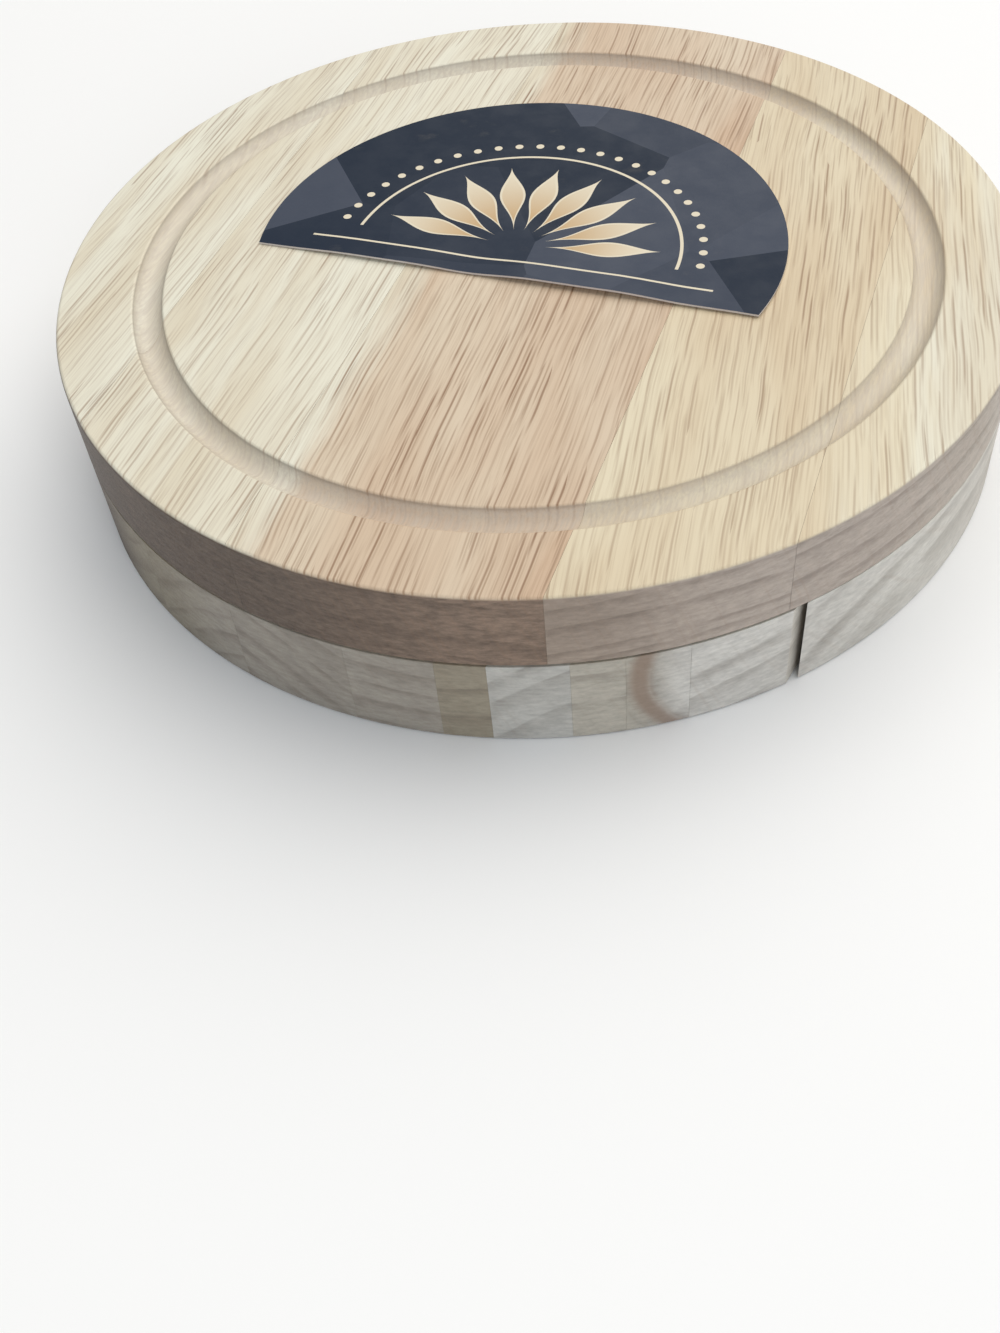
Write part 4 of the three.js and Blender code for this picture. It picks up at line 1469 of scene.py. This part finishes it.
def ground_blade(name, knives, columns, spot, thickness_share):
    """A blade from a grid of rows along it and columns across it, thinned towards its ground edge."""
    open_desk()
    bpy.ops.mesh.primitive_grid_add(x_subdivisions=columns, y_subdivisions=BLADE_ROWS, size=1)
    blade = new_piece(name)
    group = blade.vertex_groups.new(name="thickness")
    for vert in blade.data.vertices:
        across, along = vert.co.x + 0.5, 0.5 - vert.co.y
        vert.co = spot(across, along).to_3d()
        group.add([vert.index], thickness_share(across, along), "REPLACE")
    edit(blade)
    select_all()
    bpy.ops.mesh.remove_doubles(threshold=SMALL)
    bpy.ops.mesh.normals_make_consistent(inside=False)
    close_edit()
    apply_modifier(
        blade, "SOLIDIFY", thickness=knives.thickness, offset=0.0, vertex_group=group.name,
        thickness_vertex_group=knives.edge_share)
    blade.vertex_groups.clear()
    return blade


def soft_blade(knives):
    """Pointed blade: a gently curved back and a full belly that is ground to an edge."""
    knife = SOFT_KNIFE
    heel = blade_end(knife) - knives.fit
    pull = SOFT_BELLY * knives.soft_half
    tip = Vector((knives.soft_tip, knife.start))
    back = [Vector((knives.soft_heel, heel)), Vector((knives.soft_half, knife.start + knife.blade / 2)), tip]
    belly = [
        Vector((-knives.soft_heel, heel)), Vector((-pull, heel - knife.blade / 4)),
        Vector((-pull, knife.start + knife.blade / 3)), tip,
    ]
    return ground_blade(
        "soft_cheese_blade", knives, SOFT_COLUMNS,
        lambda across, along: curve_point(back, along).lerp(curve_point(belly, along), across),
        lambda across, along: min(1.0, (1 - across) / SOFT_GROUND))


def flat_blade(knives):
    """Flat blade: a spade that widens to a slightly bowed edge, ground at its end."""
    knife = FLAT_KNIFE
    heel = blade_end(knife) - knives.fit
    end = knife.start + knives.flat_bow
    flank = [
        Vector((knives.flat_heel, heel)), Vector((knives.flat_half, heel - FLAT_SHOULDER * knife.blade)),
        Vector((knives.flat_half, end)),
    ]

    def spot(across, along):
        side = curve_point(flank, along)
        bow = knives.flat_bow * (1 - (2 * across - 1) ** 2) * along
        return Vector((side.x * (2 * across - 1), side.y - bow))

    return ground_blade(
        "aged_cheese_blade", knives, FLAT_COLUMNS, spot,
        lambda across, along: min(1.0, (1 - along) / FLAT_GROUND))


def add_tang(blade, knife, knives):
    """Welds the tang that runs through the ferrule into the handle."""
    half = knives.tang_width / 2
    thick = knives.thickness / 2
    low = (-half, blade_end(knife) - knives.fit - TANG_OVERLAP, -thick)
    high = (half, ferrule_end(knife) + knives.tang_length, thick)
    weld(blade, add_block("tang", low, high))


def tang_hole(knives, low, high):
    """Cutter for the tang's slot."""
    half = knives.tang_width / 2 + knives.fit
    thick = knives.thickness / 2 + knives.fit
    return add_block("tang_hole", (-half, low, -thick), (half, high, thick))


def round_bar(name, radius, low, high, sides):
    """A round blank lying along Y."""
    open_desk()
    bpy.ops.mesh.primitive_cylinder_add(
        vertices=sides, radius=radius, depth=high - low, location=(0, (low + high) / 2, 0),
        rotation=(math.radians(90), 0, 0))
    return new_piece(name)


def flatten(piece, knives):
    """Presses a round bar to an oval section."""
    edit(piece)
    select_all()
    stretch((1, 1, knives.flatness))
    close_edit()


def ferrule(knife, knives):
    """Steel sleeve between blade and handle."""
    low, high = blade_end(knife), ferrule_end(knife)
    radius = HANDLE_FLANK[0][0] * knives.handle_radius
    sleeve = round_bar(f"{knife.name}_sleeve", radius, low, high, HOLE_SIDES)
    edit(sleeve)
    pick(sleeve, "EDGE", lambda edge: lies_at(edge, "y", low))
    round_edges(FERRULE_ROUND, segments=4)
    pick(sleeve, "EDGE", lambda edge: lies_at(edge, "y", high))
    round_edges(FERRULE_BREAK, segments=2)
    close_edit()
    flatten(sleeve, knives)
    carve(sleeve, tang_hole(knives, low - BEYOND, high + BEYOND))
    return sleeve


def handle(knife, knives):
    """Wooden handle: slim behind the ferrule, full towards its round end."""
    front = ferrule_end(knife) + knives.fit
    span = knife.handle - knives.fit
    (first_wide, _), (second_wide, second_along) = HANDLE_FLANK[:2]
    second_end = front + second_along * span
    grip = round_bar(f"{knife.name}_grip", first_wide * knives.handle_radius, front, second_end, GRIP_SIDES)
    edit(grip)
    pick(grip, "FACE", lambda face: face.normal.y > FACING)
    stretch((second_wide / first_wide,) * 3, (0, second_end, 0))
    for (wide, along), (next_wide, next_along) in zip(HANDLE_FLANK[1:], HANDLE_FLANK[2:]):
        extrude((0, (next_along - along) * span, 0))
        stretch((next_wide / wide, 1, next_wide / wide))
    pick(grip, "EDGE", lambda edge: lies_at(edge, "y", front))
    round_edges(HANDLE_BREAK, segments=2)
    close_edit()
    apply_modifier(grip, "SUBSURF", levels=2, render_levels=2)
    flatten(grip, knives)
    carve(grip, tang_hole(knives, front - BEYOND, ferrule_end(knife) + knives.tang_length + knives.fit))
    return grip


def cut_card(card):
    """The half-moon card, with rings of faces so that it can curl, its straight edge a little lifted."""
    chord = card.middle_y - card.cut
    open_desk()
    bpy.ops.mesh.primitive_circle_add(
        vertices=CARD_SIDES, radius=card.radius, fill_type="NGON",
        location=(card.middle_x, card.middle_y, CARD_LOW))
    sheet = new_piece("half_moon_card")
    edit(sheet)
    select_all()
    for _ in range(CARD_RINGS):
        bpy.ops.mesh.inset(thickness=card.radius / (CARD_RINGS + 1), depth=0)
    select_all()
    bpy.ops.mesh.bisect(plane_co=(0, chord, 0), plane_no=(0, 1, 0), clear_inner=True)
    for middle, lift in CARD_LIFTS:
        pick(sheet, "VERT", lambda vert: (
            abs(vert.co.y - chord) < SMALL and abs(vert.co.x - middle) < LIFT_HALF))
        bpy.ops.transform.translate(
            value=(0, 0, lift * card.lift), use_proportional_edit=True,
            proportional_size=LIFT_REACH, proportional_edit_falloff="SMOOTH")
    close_edit()
    apply_modifier(sheet, "SOLIDIFY", thickness=CARD_HIGH - CARD_LOW, offset=1.0)
    return sheet


def paint_card(sheet, print_side, paper):
    """Print on the upper face, bare card on the edges and below."""
    sheet.data.materials.append(paper)
    sheet.data.materials.append(print_side)
    for face in sheet.data.polygons:
        face.material_index = int(face.normal.z > FACING)


# Operators

class CHEESEBOARD_OT_stage(bpy.types.Operator):
    """Sets the floor, the lights and the camera"""

    bl_idname = "cheese_board.stage"
    bl_label = "Stage"

    def execute(self, context):
        stage = context.scene.cheese_board.stage
        self.add_floor(stage)
        context.scene.view_settings.view_transform = "Standard"
        context.scene.world = self.add_world(stage)
        for light in LIGHTS:
            self.add_light(context.scene, light)
        self.add_camera(context.scene, stage)
        return {"FINISHED"}

    def add_floor(self, stage):
        open_desk()
        bpy.ops.mesh.primitive_plane_add(
            size=FLOOR_SPAN * stage.floor_reach, location=(0, 0, -stage.floor_drop))
        floor = new_piece("floor")
        paint = Shader("pale_floor")
        here = paint.object_place()
        cloud = paint.spread(paint.noise(here, FLOOR_CLOUDS), 0.0, FLOOR_TINT)
        far = stage.floor_reach * PER_METRE
        paint.set(base_color=paint.mix(cloud, stage.floor, stage.backdrop), roughness=FLOOR_ROUGHNESS)
        paint.set(alpha=paint.ease(paint.reach(here), FLOOR_FADE * far, far, 1.0, 0.0))
        floor.data.materials.append(paint.material)

    def add_world(self, stage):
        world = bpy.data.worlds.new("studio")
        world.use_nodes = True
        tree = world.node_tree
        sky = tree.nodes["Background"]
        sky.inputs["Color"].default_value = opaque(stage.sky)
        sky.inputs["Strength"].default_value = stage.sky_strength
        seen = tree.nodes.new("ShaderNodeBackground")
        seen.inputs["Color"].default_value = opaque(stage.backdrop)
        path = tree.nodes.new("ShaderNodeLightPath")
        both = tree.nodes.new("ShaderNodeMixShader")
        tree.links.new(path.outputs["Is Camera Ray"], both.inputs[0])
        tree.links.new(sky.outputs[0], both.inputs[1])
        tree.links.new(seen.outputs[0], both.inputs[2])
        tree.links.new(both.outputs[0], tree.nodes["World Output"].inputs["Surface"])
        return world

    def add_light(self, scene, light):
        lamp = bpy.data.lights.new(light.name, "AREA")
        lamp.shape = "SQUARE"
        lamp.size = light.size
        lamp.energy = light.power
        lamp.color = light.tint
        holder = bpy.data.objects.new(light.name, lamp)
        holder.location = light.at
        holder.rotation_euler = (-Vector(light.at)).to_track_quat("-Z", "Y").to_euler()
        scene.collection.objects.link(holder)

    def add_camera(self, scene, stage):
        eye = Vector(stage.eye)
        sight = Vector(stage.target) - eye
        lens = bpy.data.cameras.new("camera")
        lens.lens = stage.lens
        lens.clip_start = NEAR_LIMIT
        camera = bpy.data.objects.new("camera", lens)
        upright = sight.to_track_quat("-Z", "Y").to_matrix()
        rolled = upright @ Matrix.Rotation(-stage.roll, 3, "Z")
        camera.matrix_world = Matrix.Translation(eye) @ rolled.to_4x4()
        scene.collection.objects.link(camera)
        scene.camera = camera


class CHEESEBOARD_OT_serving_board(bpy.types.Operator):
    """Turns the serving board and saws it into its glued staves"""

    bl_idname = "cheese_board.serving_board"
    bl_label = "Serving Board"

    def execute(self, context):
        settings = context.scene.cheese_board
        board = settings.board
        groove = ((board.groove_radius - board.groove_width) * PER_METRE, board.groove_radius * PER_METRE)
        staves = saw_staves(turn_board(board, settings.hardware), TOP_STAVES, "board_stave", board.glue_line)
        for number, (piece, stave) in enumerate(zip(staves, TOP_STAVES), start=1):
            wood = wood_material(
                f"board_wood_{number}", settings.wood, stave, 0.0, BOARD_SEED + number,
                left_joint(TOP_STAVES, number), groove)
            finish(piece, wood, "board", f"top_stave_{number}")
        return {"FINISHED"}


class CHEESEBOARD_OT_knife_tray(bpy.types.Operator):
    """Carves the knife tray and saws it into its glued staves"""

    bl_idname = "cheese_board.knife_tray"
    bl_label = "Knife Tray"

    def execute(self, context):
        settings = context.scene.cheese_board
        tray = settings.tray
        blank = carve_tray(tray, settings.board, settings.knives, settings.hardware)
        edge = tray.chord - tray.slit / 2
        staves = saw_staves(blank, TRAY_STAVES, "tray_plank", settings.board.glue_line, edge)
        for number, (piece, stave) in enumerate(zip(staves, TRAY_STAVES), start=1):
            place(piece, tray.turn)
            # The rim brings painted shade along the tray's rim
            wood = wood_material(
                f"tray_wood_{number}", settings.wood, stave, tray.turn, TRAY_SEED + number,
                left_joint(TRAY_STAVES, number), rim=BOARD_RADIUS * PER_METRE)
            finish(piece, wood, "tray", f"tray_stave_{number}")
        return {"FINISHED"}


class CHEESEBOARD_OT_foot_block(bpy.types.Operator):
    """Makes the block that stays under the board when the tray swings out"""

    bl_idname = "cheese_board.foot_block"
    bl_label = "Foot Block"

    def execute(self, context):
        settings = context.scene.cheese_board
        block = block_blank(settings.tray, settings.board, settings.hardware)
        # The rim brings painted shade along the block's rim
        wood = wood_material(
            "block_wood", settings.wood, FOOT_BLOCK, settings.tray.turn, BLOCK_SEED,
            rim=BOARD_RADIUS * PER_METRE)
        finish(block, wood, "board", "foot_block")
        return {"FINISHED"}


class CHEESEBOARD_OT_hardware(bpy.types.Operator):
    """Turns the screws, the pivot bolt, its washer, the spacer and the insert"""

    bl_idname = "cheese_board.hardware"
    bl_label = "Hardware"

    def execute(self, context):
        hardware = context.scene.cheese_board.hardware
        finishes = context.scene.cheese_board.finishes
        zinc = metal_material("zinc_plate", finishes.zinc_dark, finishes.zinc, ZINC_ROUGHNESS)
        brass = metal_material("turned_brass", finishes.brass_dark, finishes.brass, BRASS_ROUGHNESS)
        nylon = nylon_material("white_nylon", finishes)
        first, second = BLOCK_SCREWS
        screw = wood_screw("wood_screw_1", first, hardware)
        copy = duplicate(screw, "wood_screw_2")
        place(copy, 0.0, node_middle(second) - node_middle(first))
        finish(screw, zinc, "board", first)
        finish(copy, zinc, "board", second)
        finish(socket_bolt(hardware), zinc, "board", "pivot_bolt")
        washer = flat_ring("flat_washer", "pivot_washer", hardware)
        finish(washer, zinc, "board", "pivot_washer")
        spacer = flat_ring("slide_ring", "pivot_spacer", hardware)
        finish(spacer, nylon, "board", "pivot_spacer")
        finish(threaded_insert(hardware), brass, "board", "pivot_insert")
        return {"FINISHED"}


class CHEESEBOARD_OT_knives(bpy.types.Operator):
    """Makes both knives: blade with tang, ferrule and handle"""

    bl_idname = "cheese_board.knives"
    bl_label = "Knives"

    def execute(self, context):
        settings = context.scene.cheese_board
        blades = (soft_blade(settings.knives), flat_blade(settings.knives))
        for number, (knife, blade) in enumerate(zip((SOFT_KNIFE, FLAT_KNIFE), blades)):
            self.make_knife(settings, knife, blade, KNIFE_SEED + number)
        return {"FINISHED"}

    def make_knife(self, settings, knife, blade, seed):
        knives = settings.knives
        turn = math.radians(knife.azimuth - 90) + settings.tray.turn
        at = Matrix.Rotation(settings.tray.turn, 3, "Z") @ Vector((knife.x, knife.y, 0))
        steel = steel_material(f"{knife.name}_steel", settings.finishes, turn)
        wood = wood_material(f"{knife.name}_wood", settings.wood, GRIP, turn, seed)
        add_tang(blade, knife, knives)
        for piece, material, part, slot in (
            (blade, steel, "blade", "knife_steel"),
            (ferrule(knife, knives), steel, "ferrule", "knife_steel"),
            (handle(knife, knives), wood, "handle", "handle_wood"),
        ):
            place(piece, turn, at + Vector((0, 0, HANDLE_MIDDLE)))
            finish(piece, material, "tray", f"{knife.name}_{part}")


class CHEESEBOARD_OT_label_card(bpy.types.Operator):
    """Cuts and prints the half-moon card that lies on the board"""

    bl_idname = "cheese_board.label_card"
    bl_label = "Label Card"

    def execute(self, context):
        card = context.scene.cheese_board.card
        sheet = cut_card(card)
        paint_card(sheet, print_material("card_print", card), paper_material("card_paper", card))
        finish(sheet, None, "card", "label_card")
        return {"FINISHED"}


class CHEESEBOARD_PT_pieces(bpy.types.Panel):
    """Lists the steps in the order of making"""

    bl_label = "Cheese Board"
    bl_idname = "CHEESEBOARD_PT_pieces"
    bl_space_type = "VIEW_3D"
    bl_region_type = "UI"
    bl_category = "Cheese Board"

    def draw(self, context):
        for step in STEPS:
            self.layout.operator(step.bl_idname)


GROUPS = (
    BoardSizes, TraySizes, HardwareSizes, KnifeSizes, CardSizes, WoodColours, FinishColours,
    StageSettings, CheeseBoardSettings,
)
STEPS = (
    CHEESEBOARD_OT_stage, CHEESEBOARD_OT_serving_board, CHEESEBOARD_OT_knife_tray, CHEESEBOARD_OT_foot_block,
    CHEESEBOARD_OT_hardware, CHEESEBOARD_OT_knives, CHEESEBOARD_OT_label_card,
)


def register():
    for group in GROUPS:
        bpy.utils.register_class(group)
    bpy.types.Scene.cheese_board = PointerProperty(type=CheeseBoardSettings)
    for step in STEPS:
        bpy.utils.register_class(step)
    bpy.utils.register_class(CHEESEBOARD_PT_pieces)


def unregister():
    bpy.utils.unregister_class(CHEESEBOARD_PT_pieces)
    for step in reversed(STEPS):
        bpy.utils.unregister_class(step)
    del bpy.types.Scene.cheese_board
    for group in reversed(GROUPS):
        bpy.utils.unregister_class(group)


def main():
    register()
    bpy.ops.cheese_board.stage()
    bpy.ops.cheese_board.serving_board()
    bpy.ops.cheese_board.knife_tray()
    bpy.ops.cheese_board.foot_block()
    bpy.ops.cheese_board.hardware()
    bpy.ops.cheese_board.knives()
    bpy.ops.cheese_board.label_card()


if __name__ == "__main__":
    main()
